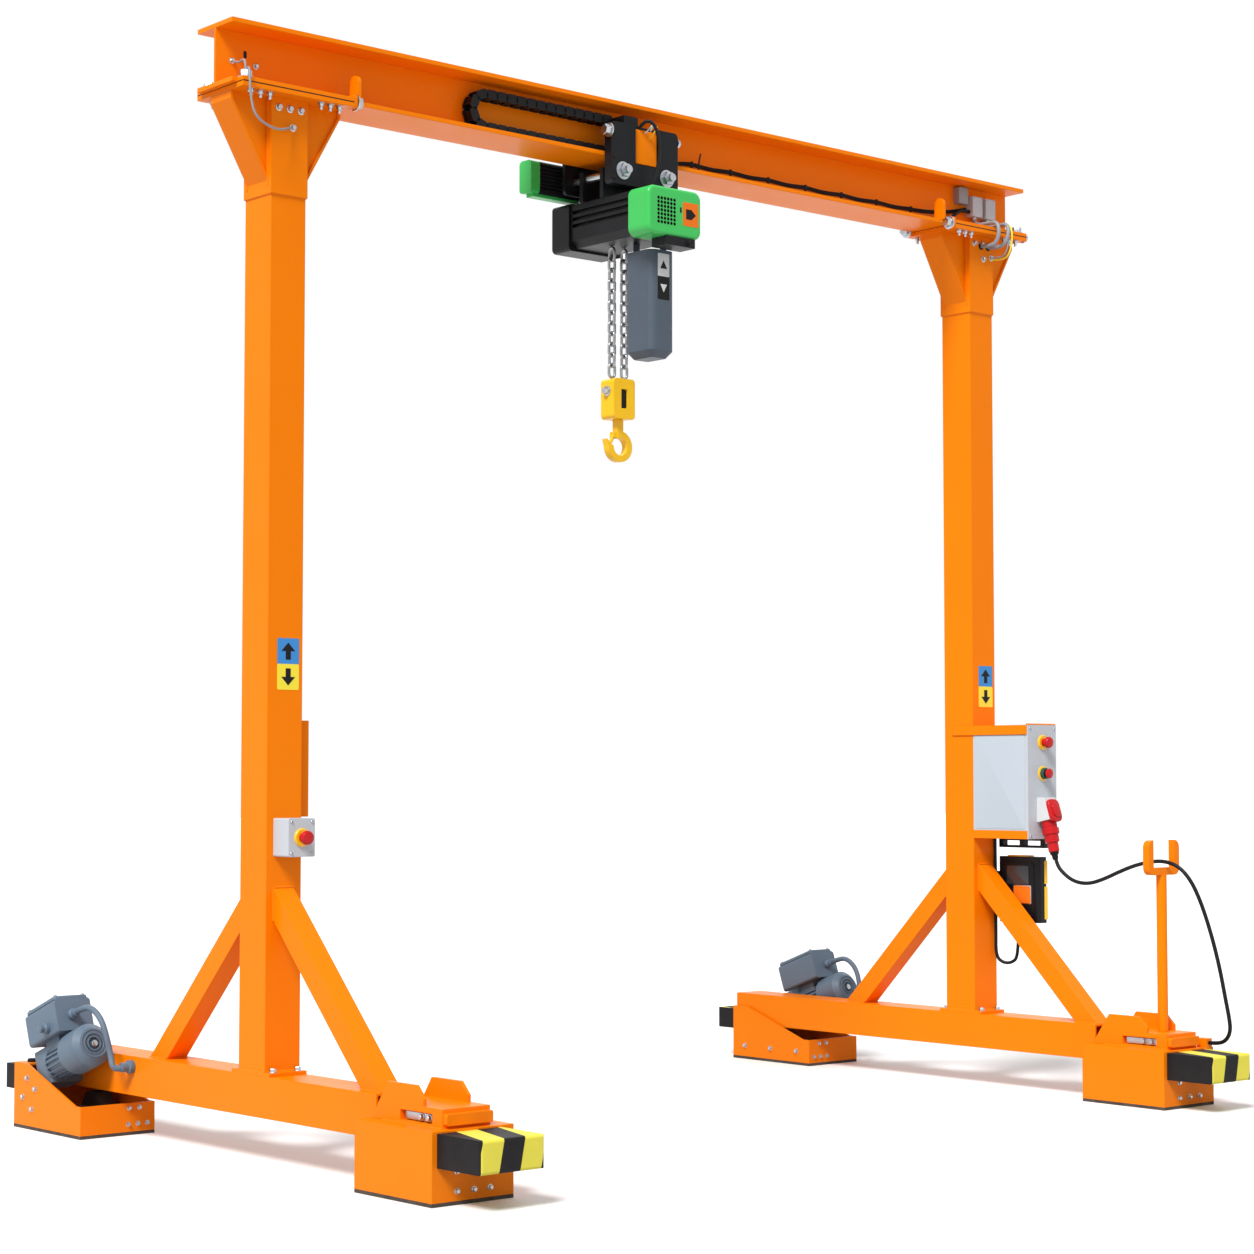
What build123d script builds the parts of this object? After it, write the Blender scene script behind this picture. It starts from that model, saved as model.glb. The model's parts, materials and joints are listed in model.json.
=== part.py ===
"""Electrically driven gantry crane: two braced legs on wheeled carriages, a beam, a trolley and a hoist.

Frame: +X along the beam from the left leg to the right leg, +Y towards the drive end of the carriages,
+Z up, origin on the ground at the centre of the part. Millimetres.
"""
import os
from math import cos, radians, sin, tan

from build123d import *

os.makedirs("parts", exist_ok=True)

SIDES = (("left", -1), ("right", 1))
seat_gap = 0.3            # running gap where a curved face meets its seat
arc_share = 0.45          # share of a cord's shorter run that its bend takes up

# Portal beam
beam_length = 4060
beam_width = 220
beam_height = 220
beam_web = 10
beam_flange = 16
beam_bottom = 3651        # underside of the bottom flange over the ground
pad_width = 290           # flange widened over each column head
pad_length = 456

# Columns and their heads
span = 3560               # between the column centres
column_width = 140        # along X
column_depth = 160        # along Y
column_wall = 8
column_head_height = 335
head_sleeve = 5           # how far the head stands proud of the column
head_plate = 18
gusset_reach = 150        # along X from the head's face
gusset_depth = 128        # along Y
gusset_nose = 26          # upright edge under the head plate
gusset_drop = 290         # from the head plate down
gusset_recess = 10        # side plates behind the edge of the sloping cover
gusset_cover = 10

# Carriages
carriage_width = 150
carriage_height = 140
carriage_bottom = 160
carriage_wall = 8
foot_plate = 12
foot_plate_length = 232   # along Y
brace_size = 80
brace_rise = 631          # upper edge of the brace over the carriage, at the column
brace_angle = 45

# Wheel boxes
skirt_height = 12
skirt_width = 12
box_wall = 8
front_box_gap = 730       # column centre to the inner wall of the box
front_box_length = 407
front_box_width = 316
front_box_height = 228
rear_box_gap = 896
rear_box_length = 497
rear_box_height = 240
rear_box_low = 116        # height of the low end under the carriage beam
rear_box_shelf = 95       # level top at the high end
rear_box_foot = 40        # level stretch at the low end
rear_box_outer = 215      # from the column centre outwards
rear_box_inner = 91       # from the column centre inwards
wheel_diameter = 140
wheel_width = 60
wheel_lift = 1
axle_diameter = 34

# Covers and lugs on the front boxes
cover_width = 184
cover_height = 60
cover_length = 372
cover_back = 60           # clear of the inner wall of the box
lug_plate = 12
lug_slope = 84            # run of the sloping edge over the inner wall
lug_length = 190
lug_height = 62
lug_chamfer = 40
slot_length = 168
slot_height = 32
slot_depth = 24
slot_margin = 52
slot_sill = 9
lip_width = 178
lip_height = 36
lip_sill = 10
lip_reach = 20
lip_corner = 7

# Bumpers
bumper_length = 215
bumper_width = 248
bumper_height = 104
bumper_offset = 15
bumper_top = 222
bumper_corner = 10
rear_bumper_length = 150
rear_bumper_width = 220
rear_bumper_height = 92

# Travel gearmotors
motor_tilt = 20
motor_back = 350          # gear end behind the low end of the rear box
motor_height = 215        # axis over the ground at the gear end
motor_outward = 162       # axis from the column centre
gear_length = 100
gear_height = 136
gear_outward = 38         # gear case beyond the axis
flange_diameter = 128     # round flange between the gear case and the stator
flange_length = 14
stator_diameter = 112
stator_length = 140
fin_count = 20
fin_height = 8
fin_width = 5
cowl_diameter = 158
cowl_length = 132
cowl_corner = 22
terminal_length = 230
terminal_width = 146
terminal_height = 120
terminal_start = 36
terminal_neck = 16
terminal_neck_width = 80
terminal_neck_length = 100
terminal_corner = 12

# Emergency stop and cable guard on the left column
stop_box_width = 106
stop_box_depth = 94
stop_box_height = 130
stop_box_centre = 1100
stop_box_shift = 10
stop_box_corner = 6
button_ring = 62
button_ring_depth = 8
button_head = 48
button_neck = 34
button_travel = 18
button_thick = 18
guard_width = 61
guard_depth = 48
guard_wall = 4
guard_bottom = 1168
guard_height = 329
guard_shift = 20

# Control cabinet on the right column
cabinet_width = 180
cabinet_depth = 297
cabinet_bottom = 1042
cabinet_height = 477
cabinet_panel = 6
strap_high = 40
strap_low = 35
strap_tail = 115
strap_plate = 6
cabinet_button_shift = 4
cabinet_stop_drop = 73    # below the top of the cabinet
cabinet_start_drop = 203

# Supply inlet and plug
inlet_width = 72
inlet_top = 1216
inlet_bottom = 1112
inlet_brow = 40
inlet_mouth = 70
plug_tilt = 12            # from upright, leaning outwards below
plug_shell = 62
plug_shell_length = 34
plug_collar = 72
plug_collar_length = 24
plug_body = 60
plug_body_length = 34
plug_neck = 46
plug_neck_length = 40
plug_lead = 52            # straight cord out of the plug

# Cord post on the right front box
post_diameter = 42
post_shift = 16
post_back = 137           # behind the front wall of the box
post_height = 622
fork_gap = 134
fork_bar = 30
fork_height = 140
fork_corner = 30
cord_diameter = 16
gland_width = 36
gland_height = 34
gland_length = 46
gland_margin = 26         # gland centre from the box's outer wall

# Pendant control
pendant_width = 60
pendant_depth = 225
pendant_height = 278
pendant_bottom = 686
pendant_shift = 97        # from the column centre outwards
pendant_front = 207       # from the column centre to the middle of the pendant
pendant_corner = 16
pendant_gland_back = 28   # gland behind the middle of the pendant
pendant_gland = 30
pendant_gland_length = 34
pendant_cord_diameter = 14
bracket_bar = 10          # grip bracket under the cabinet
bracket_width = 30
bracket_length = 250
bracket_shift = 84
bracket_front = 225
bracket_drop = 40
bracket_post = 22
bracket_gaps = 2
holder_plate = 10         # plate that holds the pendant to the column
holder_height = 50
holder_bottom = 850
holder_grip = 55          # stretch of the plate on the column

# End stops, junction boxes and cables on the beam
stop_inset = 269          # inwards of the column centre
stop_plate = 15
stop_width = 52
stop_height = 92
stop_web_gap = 66
junction_count = 2
junction_width = 62
junction_depth = 44
junction_height = 88
junction_pitch = 84
junction_rise = 60
junction_end = 230        # first box from the end of the beam
cable_diameter = 16
chain_width = 50
chain_height = 35
chain_web_gap = 7
chain_rise = 122          # between the two runs
chain_loop_end = 980      # loop end to the left of the beam's middle
chain_fixed_end = 40
chain_arm_back = 83       # moving end to the left of the trolley's middle
cable_bow = 5             # how far the cable wanders over the flange
cable_lift_run = 90       # stretch over which it leaves the flange
cable_lead = 60           # straight run into the junction box

# Trolley
trolley_x = -217
trolley_length = 336
trolley_front_plate = 40
trolley_rear_plate = 15
trolley_clearance = 8
trolley_rise = 124        # plates over the underside of the beam
trolley_drop = 113        # plates below the underside of the beam
trolley_corner = 18
recess_width = 118        # pocket in the front plate
recess_shift = 12
recess_height = 150
recess_depth = 14
roller_diameter = 80
roller_width = 28
roller_spread = 200
roller_gap = 12
roller_axle = 26
rod_diameter = 30
rod_spread = 220
rod_drop = 59             # rod centres below the underside of the beam
rod_overhang = 38
nut_size = 54
nut_thick = 20
drive_depth = 72          # along Y
drive_height = 126
drive_corner = 16
drive_length = 206
drive_cap = 44
drive_drop = 47           # motor axis below the underside of the beam
drive_gap = 40
drive_fin_pitch = 14
drive_fin_depth = 7
drive_fins = 7
drive_tray = 12           # cover under the motor
drive_gear_length = 100
drive_gear_start = 40
arm_thick = 14
arm_width = 70

# Hoist
hoist_width = 267
hoist_drop = 80           # top of the hoist below the tie rods
hoist_height = 184
hoist_front = 330         # ahead of the beam's middle
hoist_back = 247
cap_length = 116
cap_corner = 34
cap_edge = 13
hole_width = 11           # grille holes in the cap
hole_depth = 9
hole_pitch_x = 16
hole_pitch_z = 15
hole_columns = 6
hole_rows = 7
hole_shift = 44           # middle of the grille to the left of the cap's middle
gear_cover_length = 112
gear_cover_corner = 18
gear_cover_edge = 10
body_inset = 9
body_chamfer = 26         # along the lower edges
slot_count = 3            # cooling slots on each flank
flank_slot_pitch = 26
flank_slot_height = 13
flank_slot_depth = 18
flank_slot_top = 30       # first slot below the top of the body
flank_slot_margin = 10
control_box_width = 144
control_box_length = 84
control_box_drop = 34
control_box_shift = 28
hanger_length = 270
hanger_plate = 20
hanger_spread = 120
hanger_rim = 25
bag_width = 126
bag_depth = 157
bag_drop = 35             # rim of the bag below the hoist
bag_height = 408
bag_wall = 4
bag_corner = 34
bag_taper = 26            # chamfer round the bottom
bag_shift = 21
bag_front = 161
bag_lug_width = 30

# Load chain, bottom block and hook
link_bar = 11
link_step = 38            # least distance between the centres of two links
link_width = 40
link_chamfer = 10
fall_spread = 62
hook_hang = 513           # underside of the hoist to the top of the block
block_height = 155
block_width = 106
block_depth = 76
block_corner = 16
window_width = 30
window_height = 74
window_depth = 8
hook_bowl = 34            # inner radius
hook_wall = 25
hook_thick = 30
hook_shank = 28
hook_drop = 104           # block to the centre of the bowl
hook_tip_rise = 26
hook_tip_out = 8
ear_plate = 6
ear_length = 17
ear_height = 22
latch_rise = 44           # latch pin over the centre of the bowl
latch_thick = 12
latch_depth = 7
latch_pin = 8
pin_gap = 0.05

# Places worked out from the sizes above
beam_top = beam_bottom + beam_height
rod_height = beam_bottom - rod_drop
trolley_top = beam_bottom + trolley_rise
trolley_bottom = beam_bottom - trolley_drop
hoist_top = rod_height - hoist_drop
flange_top = beam_bottom + beam_flange
head_plate_bottom = beam_bottom - head_plate
head_bottom = head_plate_bottom - column_head_height
sleeve_half = column_width / 2 + head_sleeve
carriage_top = carriage_bottom + carriage_height
column_bottom = carriage_top + foot_plate
front_reach = front_box_gap + front_box_length + bumper_length
rear_reach = rear_box_gap + rear_box_length + rear_bumper_length
column_y = (front_reach - rear_reach) / 2
front_back_y = column_y - front_box_gap
front_wall_y = front_back_y - front_box_length
rear_low_y = column_y + rear_box_gap
rear_end_y = rear_low_y + rear_box_length
column_front_y = column_y - column_depth / 2
cover_top = front_box_height + cover_height
wheel_height = wheel_diameter / 2 + wheel_lift
column_x = span / 2
cabinet_x = column_x - column_width / 2 + cabinet_width / 2
cabinet_top = cabinet_bottom + cabinet_height
cabinet_front_y = column_front_y - cabinet_depth
panel_front_y = cabinet_front_y - cabinet_panel
plate_inner = beam_width / 2 + trolley_clearance
front_plate_outer = plate_inner + trolley_front_plate
rear_plate_outer = plate_inner + trolley_rear_plate
hoist_bottom = hoist_top - hoist_height
body_bottom = hoist_bottom + body_inset
body_top = hoist_top - body_inset
hoist_front_y = column_y - hoist_front
hoist_back_y = column_y + hoist_back
bag_top = hoist_bottom - bag_drop
block_top = body_bottom - hook_hang
block_bottom = block_top - block_height
bowl_z = block_bottom - hook_drop


def block(x, y, z, mode=Mode.ADD):
    """Rectangular block between two values on each axis."""
    with Locations(((x[0] + x[1]) / 2, (y[0] + y[1]) / 2, (z[0] + z[1]) / 2)):
        Box(abs(x[1] - x[0]), abs(y[1] - y[0]), abs(z[1] - z[0]), mode=mode)


def about(middle, width):
    """Low and high value of a width about its middle."""
    return (middle - width / 2, middle + width / 2)


def keep(builder, node):
    """Label a finished piece and write its file."""
    builder.part.label = node
    export_step(builder.part, f"parts/{node}.step")


def bend_radii(points):
    """Largest arc at each corner of a cord's route that leaves part of both runs straight."""
    radii = []
    for before, corner, after in zip(points, points[1:], points[2:]):
        run_in = Vector(corner) - Vector(before)
        run_out = Vector(after) - Vector(corner)
        shorter = min(run_in.length, run_out.length)
        radii.append(arc_share * shorter / tan(radians(run_in.get_angle(run_out)) / 2))
    return radii


def section_plane(points):
    """Plane square to the start of a cord's route."""
    return Plane(origin=points[0], z_dir=Vector(points[1]) - Vector(points[0]))


# Portal beam: an I section whose bottom flange is widened over each column head
with BuildPart() as main_beam:
    with BuildSketch(Plane.YZ.offset(-beam_length / 2)):
        with Locations((column_y, beam_bottom + beam_flange / 2), (column_y, beam_top - beam_flange / 2)):
            Rectangle(beam_width, beam_flange)
        with Locations((column_y, beam_bottom + beam_height / 2)):
            Rectangle(beam_web, beam_height - beam_flange)
    extrude(amount=beam_length)
    for _, side in SIDES:
        block(about(side * column_x, pad_length), about(column_y, pad_width), (beam_bottom, flange_top))
keep(main_beam, "main_beam")

# Columns: rectangular tubes from the foot plate to the head
for name, side in SIDES:
    with BuildPart() as column:
        with BuildSketch(Plane.XY.offset(column_bottom)):
            with Locations((side * column_x, column_y)):
                Rectangle(column_width, column_depth)
                Rectangle(column_width - 2 * column_wall, column_depth - 2 * column_wall, mode=Mode.SUBTRACT)
        extrude(amount=head_bottom - column_bottom)
    keep(column, f"{name}_column")

# Column heads: a sleeve with a boxed gusset on each side and a bolting plate on top
for name, side in SIDES:
    with BuildPart() as head:
        block(about(side * column_x, 2 * sleeve_half), about(column_y, column_depth + 2 * head_sleeve),
              (head_bottom, head_plate_bottom))
        block(about(side * column_x, pad_length), about(column_y, pad_width),
              (head_plate_bottom, beam_bottom))
        for way in (-1, 1):
            root = side * column_x + way * sleeve_half
            tip = root + way * gusset_reach
            nose_z = head_plate_bottom - gusset_nose
            root_z = head_plate_bottom - gusset_drop
            with BuildSketch(Plane.XZ.offset(-column_y)):
                with BuildLine():
                    Polyline((root, head_plate_bottom), (tip, head_plate_bottom), (tip, nose_z),
                             (root, root_z), close=True)
                make_face()
            extrude(amount=gusset_depth / 2 - gusset_recess, both=True)
            with BuildSketch(Plane.XZ.offset(-column_y)):
                with BuildLine():
                    Polyline((tip, head_plate_bottom), (tip, nose_z), (root, root_z),
                             (root, root_z + 2 * gusset_cover), (tip - way * gusset_cover, nose_z),
                             (tip - way * gusset_cover, head_plate_bottom), close=True)
                make_face()
            extrude(amount=gusset_depth / 2, both=True)
    keep(head, f"{name}_column_head")

# Foot plates under the columns
with BuildPart() as foot_plates:
    for _, side in SIDES:
        block(about(side * column_x, carriage_width), about(column_y, foot_plate_length),
              (carriage_top, column_bottom))
keep(foot_plates, "foot_plates")

# Carriage beams: rectangular tubes from the front box into the rear box
for name, side in SIDES:
    with BuildPart() as carriage:
        with BuildSketch(Plane.XZ.offset(-front_back_y)):
            with Locations((side * column_x, carriage_bottom + carriage_height / 2)):
                Rectangle(carriage_width, carriage_height)
                Rectangle(carriage_width - 2 * carriage_wall, carriage_height - 2 * carriage_wall,
                          mode=Mode.SUBTRACT)
        extrude(amount=front_back_y - (rear_end_y - box_wall))
    keep(carriage, f"{name}_carriage_beam")

# Braces: square tubes cut to the column and to the carriage, one on each side of the column
brace_cut = brace_size / cos(radians(brace_angle))
brace_foot_cut = brace_size / sin(radians(brace_angle))
brace_run = brace_rise / tan(radians(brace_angle))
for name, side in SIDES:
    with BuildPart() as braces:
        for way in (-1, 1):
            face_y = column_y + way * column_depth / 2
            foot_y = face_y + way * brace_run
            with BuildSketch(Plane.YZ.offset(side * column_x)):
                with BuildLine():
                    Polyline((face_y, carriage_top + brace_rise), (foot_y, carriage_top),
                             (foot_y - way * brace_foot_cut, carriage_top),
                             (face_y, carriage_top + brace_rise - brace_cut), close=True)
                make_face()
            extrude(amount=brace_size / 2, both=True)
    keep(braces, f"{name}_braces")

# Front wheel boxes: open below
for name, side in SIDES:
    with BuildPart() as front_box:
        block(about(side * column_x, front_box_width), (front_wall_y, front_back_y),
              (skirt_height, front_box_height))
        block(about(side * column_x, front_box_width - 2 * box_wall),
              (front_wall_y + box_wall, front_back_y - box_wall),
              (skirt_height, front_box_height - box_wall), mode=Mode.SUBTRACT)
    keep(front_box, f"{name}_front_box")

# Rear wheel boxes: high at the end, sloping down to a low end so that the drive can stand in the outer bay
for name, side in SIDES:
    outer_x = side * (column_x + rear_box_outer)
    inner_x = side * (column_x - rear_box_inner)
    with BuildPart() as rear_box:
        for plate_x, inward in ((outer_x, -side), (inner_x, side)):
            with BuildSketch(Plane.YZ.offset(plate_x)):
                with BuildLine():
                    Polyline((rear_low_y, skirt_height), (rear_end_y, skirt_height),
                             (rear_end_y, rear_box_height), (rear_end_y - rear_box_shelf, rear_box_height),
                             (rear_low_y + rear_box_foot, rear_box_low), (rear_low_y, rear_box_low),
                             close=True)
                make_face()
            extrude(amount=inward * box_wall)
        block((outer_x, inner_x), (rear_low_y, rear_low_y + box_wall), (skirt_height, rear_box_low))
        block((outer_x, inner_x), (rear_end_y - box_wall, rear_end_y), (skirt_height, rear_box_height))
        block((outer_x, inner_x), (rear_end_y - rear_box_shelf, rear_end_y),
              (rear_box_height - box_wall, rear_box_height))
        block(about(side * column_x, carriage_width), (rear_low_y, rear_end_y - box_wall),
              (carriage_bottom, carriage_top), mode=Mode.SUBTRACT)
    keep(rear_box, f"{name}_rear_box")

# Travel wheels on their axles, inside the boxes
front_wheel_y = (front_wall_y + front_back_y) / 2
rear_wheel_y = (rear_low_y + rear_end_y) / 2
with BuildPart() as travel_wheels:
    for _, side in SIDES:
        front_half = front_box_width / 2 - box_wall
        rear_outer = side * (column_x + rear_box_outer - box_wall)
        rear_inner = side * (column_x - rear_box_inner + box_wall)
        for wheel_y, axle_x in ((front_wheel_y, about(side * column_x, 2 * front_half)),
                                (rear_wheel_y, (min(rear_outer, rear_inner), max(rear_outer, rear_inner)))):
            with BuildSketch(Plane.YZ.offset(side * column_x - wheel_width / 2)):
                with Locations((wheel_y, wheel_height)):
                    Circle(wheel_diameter / 2)
            extrude(amount=wheel_width)
            with BuildSketch(Plane.YZ.offset(axle_x[0])):
                with Locations((wheel_y, wheel_height)):
                    Circle(axle_diameter / 2)
            extrude(amount=axle_x[1] - axle_x[0])
keep(travel_wheels, "travel_wheels")

# Rubber skirts along the lower edges of the boxes
with BuildPart() as floor_skirts:
    for _, side in SIDES:
        outer_x = side * (column_x + rear_box_outer)
        inner_x = side * (column_x - rear_box_inner)
        for box_x, box_y in ((about(side * column_x, front_box_width), (front_wall_y, front_back_y)),
                             ((min(outer_x, inner_x), max(outer_x, inner_x)), (rear_low_y, rear_end_y))):
            block(box_x, box_y, (0, skirt_height))
            block((box_x[0] + skirt_width, box_x[1] - skirt_width),
                  (box_y[0] + skirt_width, box_y[1] - skirt_width), (0, skirt_height), mode=Mode.SUBTRACT)
keep(floor_skirts, "floor_skirts")

# Raised covers on the front boxes: a slot on each side, two side plates that rise to lugs, and a front lip
cover_front_y = front_back_y - cover_length
lug_top = cover_top + lug_height
lug_front_y = front_back_y - lug_slope - lug_length + lug_chamfer
slot_y = cover_front_y + slot_margin
with BuildPart() as front_covers:
    for _, side in SIDES:
        centre_x = side * column_x
        block(about(centre_x, cover_width), (cover_front_y, front_back_y - cover_back),
              (front_box_height, cover_top))
        for way in (-1, 1):
            with BuildSketch(Plane.YZ.offset(centre_x + way * (cover_width - lug_plate) / 2)):
                with BuildLine():
                    Polyline((front_back_y, front_box_height), (front_back_y - lug_slope, lug_top),
                             (lug_front_y, lug_top), (lug_front_y - lug_chamfer, lug_top - lug_chamfer),
                             (lug_front_y - lug_chamfer, front_box_height), close=True)
                make_face()
            extrude(amount=lug_plate / 2, both=True)
            slot_face = centre_x + way * cover_width / 2
            block((slot_face, slot_face - way * slot_depth), (slot_y, slot_y + slot_length),
                  about(front_box_height + slot_sill + slot_height / 2, slot_height), mode=Mode.SUBTRACT)
        with BuildSketch(Plane.XZ.offset(-cover_front_y)):
            with Locations((centre_x, front_box_height + lip_sill + lip_height / 2)):
                RectangleRounded(lip_width, lip_height, lip_corner)
        extrude(amount=lip_reach)
keep(front_covers, "front_covers")

# Rubber bumpers at the ends of the carriages
with BuildPart() as front_bumpers:
    for _, side in SIDES:
        block(about(side * column_x - bumper_offset, bumper_width),
              (front_wall_y - bumper_length, front_wall_y), (bumper_top - bumper_height, bumper_top))
    fillet(front_bumpers.edges().group_by(Axis.Y)[0], bumper_corner)
keep(front_bumpers, "front_bumpers")

with BuildPart() as rear_bumpers:
    for _, side in SIDES:
        rear_centre = side * (column_x + (rear_box_outer - rear_box_inner) / 2)
        block(about(rear_centre, rear_bumper_width), (rear_end_y, rear_end_y + rear_bumper_length),
              (bumper_top - rear_bumper_height, bumper_top))
    fillet(rear_bumpers.edges().group_by(Axis.Y)[-1], bumper_corner)
keep(rear_bumpers, "rear_bumpers")

# Travel gearmotors: gear case on the carriage beam, finned stator, fan cowl and terminal box, tilted upwards
for name, side in SIDES:
    motor_plane = Plane(origin=(side * (column_x + motor_outward), rear_low_y + motor_back, motor_height),
                        x_dir=(1, 0, 0), z_dir=(0, -cos(radians(motor_tilt)), sin(radians(motor_tilt))))
    case_inward = motor_outward - carriage_width / 2
    with BuildPart() as gearmotor:
        with BuildSketch(motor_plane):
            with Locations((-side * (case_inward - gear_outward) / 2, 0)):
                Rectangle(case_inward + gear_outward, gear_height)
        extrude(amount=gear_length)
        with BuildSketch(motor_plane.offset(gear_length)):
            Circle(flange_diameter / 2)
        extrude(amount=flange_length)
        with BuildSketch(motor_plane.offset(gear_length)):
            Circle(stator_diameter / 2)
            with PolarLocations(stator_diameter / 2, fin_count):
                Rectangle(2 * fin_height, fin_width)
        extrude(amount=stator_length)
        cowl_start = gear_length + stator_length
        with BuildSketch(motor_plane.offset(cowl_start)):
            Circle(cowl_diameter / 2)
        extrude(amount=cowl_length - cowl_corner)
        with BuildSketch(motor_plane.offset(cowl_start + cowl_length - cowl_corner)):
            Circle(cowl_diameter / 2)
        with BuildSketch(motor_plane.offset(cowl_start + cowl_length)):
            Circle(cowl_diameter / 2 - cowl_corner)
        loft()
        neck_top = stator_diameter / 2 + fin_height + terminal_neck
        neck_start = terminal_start + (terminal_length - terminal_neck_length) / 2
        with BuildSketch(motor_plane.offset(neck_start)):
            with Locations((0, neck_top / 2)):
                Rectangle(terminal_neck_width, neck_top)
        extrude(amount=terminal_neck_length)
        with BuildSketch(motor_plane.offset(terminal_start)):
            with Locations((0, neck_top + terminal_height / 2)):
                RectangleRounded(terminal_width, terminal_height, terminal_corner)
        extrude(amount=terminal_length)
    keep(gearmotor, f"{name}_gearmotor")

# Emergency stop box on the left column
with BuildPart() as stop_box:
    block(about(-column_x + stop_box_shift, stop_box_width),
          (column_front_y - stop_box_depth, column_front_y), about(stop_box_centre, stop_box_height))
    fillet(stop_box.edges().filter_by(Axis.Y), stop_box_corner)
keep(stop_box, "emergency_stop_box")

# Channel that guards the cables on the inner face of the left column
guard_face = -column_x + column_width / 2
guard_y = column_y - guard_shift
guard_z = (guard_bottom, guard_bottom + guard_height)
with BuildPart() as cable_guard:
    block((guard_face, guard_face + guard_depth), about(guard_y, guard_width), guard_z)
    block((guard_face, guard_face + guard_depth - guard_wall), about(guard_y, guard_width - 2 * guard_wall),
          guard_z, mode=Mode.SUBTRACT)
keep(cable_guard, "cable_guard")

# Control cabinet on the right column: body between two straps, with a panel over the whole front
with BuildPart() as control_cabinet:
    block(about(cabinet_x, cabinet_width), (cabinet_front_y, column_front_y),
          (cabinet_bottom + strap_low, cabinet_top - strap_high))
    block(about(cabinet_x, cabinet_width), (panel_front_y, cabinet_front_y), (cabinet_bottom, cabinet_top))
keep(control_cabinet, "control_cabinet")

with BuildPart() as cabinet_straps:
    block(about(cabinet_x, cabinet_width), (cabinet_front_y, column_front_y),
          (cabinet_top - strap_high, cabinet_top))
    block(about(cabinet_x, cabinet_width), (cabinet_front_y, column_front_y),
          (cabinet_bottom, cabinet_bottom + strap_low))
    strap_face = column_x - column_width / 2
    block((strap_face - strap_plate, strap_face), (cabinet_front_y, column_front_y + strap_tail),
          (cabinet_top - strap_high, cabinet_top))
keep(cabinet_straps, "cabinet_straps")

# Push buttons: a mushroom head on a neck and a round collar
with BuildPart() as push_buttons:
    for button_x, face_y, button_z in (
            (-column_x + stop_box_shift, column_front_y - stop_box_depth, stop_box_centre),
            (cabinet_x + cabinet_button_shift, panel_front_y, cabinet_top - cabinet_stop_drop),
            (cabinet_x + cabinet_button_shift, panel_front_y, cabinet_top - cabinet_start_drop)):
        depth = 0
        for diameter, length in ((button_ring, button_ring_depth), (button_neck, button_travel),
                                 (button_head, button_thick)):
            with BuildSketch(Plane.XZ.offset(depth - face_y)):
                with Locations((button_x, button_z)):
                    Circle(diameter / 2)
            extrude(amount=length)
            depth += length
keep(push_buttons, "push_buttons")

# Supply inlet on the cabinet, its mouth square to the plug
plug_down = Vector(0, -sin(radians(plug_tilt)), -cos(radians(plug_tilt)))
mouth_y = panel_front_y - inlet_mouth * cos(radians(plug_tilt))
mouth_z = inlet_bottom + inlet_mouth * sin(radians(plug_tilt))
with BuildPart() as supply_inlet:
    with BuildSketch(Plane.YZ.offset(cabinet_x)):
        with BuildLine():
            Polyline((panel_front_y, inlet_bottom), (panel_front_y, inlet_top),
                     (panel_front_y - inlet_brow, inlet_top), (mouth_y, mouth_z), close=True)
        make_face()
    extrude(amount=inlet_width / 2, both=True)
keep(supply_inlet, "supply_inlet")

plug_start = Vector(cabinet_x, (panel_front_y + mouth_y) / 2, (inlet_bottom + mouth_z) / 2)
plug_steps = ((plug_shell, plug_shell_length), (plug_collar, plug_collar_length),
              (plug_body, plug_body_length), (plug_neck, plug_neck_length))
plug_end = plug_start
with BuildPart() as supply_plug:
    for diameter, length in plug_steps:
        with BuildSketch(Plane(origin=plug_end, x_dir=(1, 0, 0), z_dir=plug_down)):
            Circle(diameter / 2)
        extrude(amount=length)
        plug_end = plug_end + plug_down * length
keep(supply_plug, "supply_plug")

# Post with a fork that carries the supply cord
post_x = column_x + post_shift
post_y = front_wall_y + post_back
post_top = cover_top + post_height
with BuildPart() as cord_post:
    with BuildSketch(Plane.XY.offset(cover_top)):
        with Locations((post_x, post_y)):
            Circle(post_diameter / 2)
    extrude(amount=post_height)
    with BuildSketch(Plane.XZ.offset(-post_y)):
        with Locations((post_x, post_top + fork_height / 2)):
            RectangleRounded(fork_gap + 2 * fork_bar, fork_height, fork_corner)
        with Locations((post_x, post_top + fork_bar + fork_height / 2)):
            Rectangle(fork_gap, fork_height, mode=Mode.SUBTRACT)
    extrude(amount=fork_bar / 2, both=True)
keep(cord_post, "cord_post")

# Gland that takes the supply cord into the right front box
gland_x = column_x + front_box_width / 2 - gland_margin
gland_z = front_box_height + gland_height / 2
with BuildPart() as cord_gland:
    block(about(gland_x, gland_width), (front_wall_y, front_wall_y + gland_length),
          (front_box_height, front_box_height + gland_height))
keep(cord_gland, "cord_gland")

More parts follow.
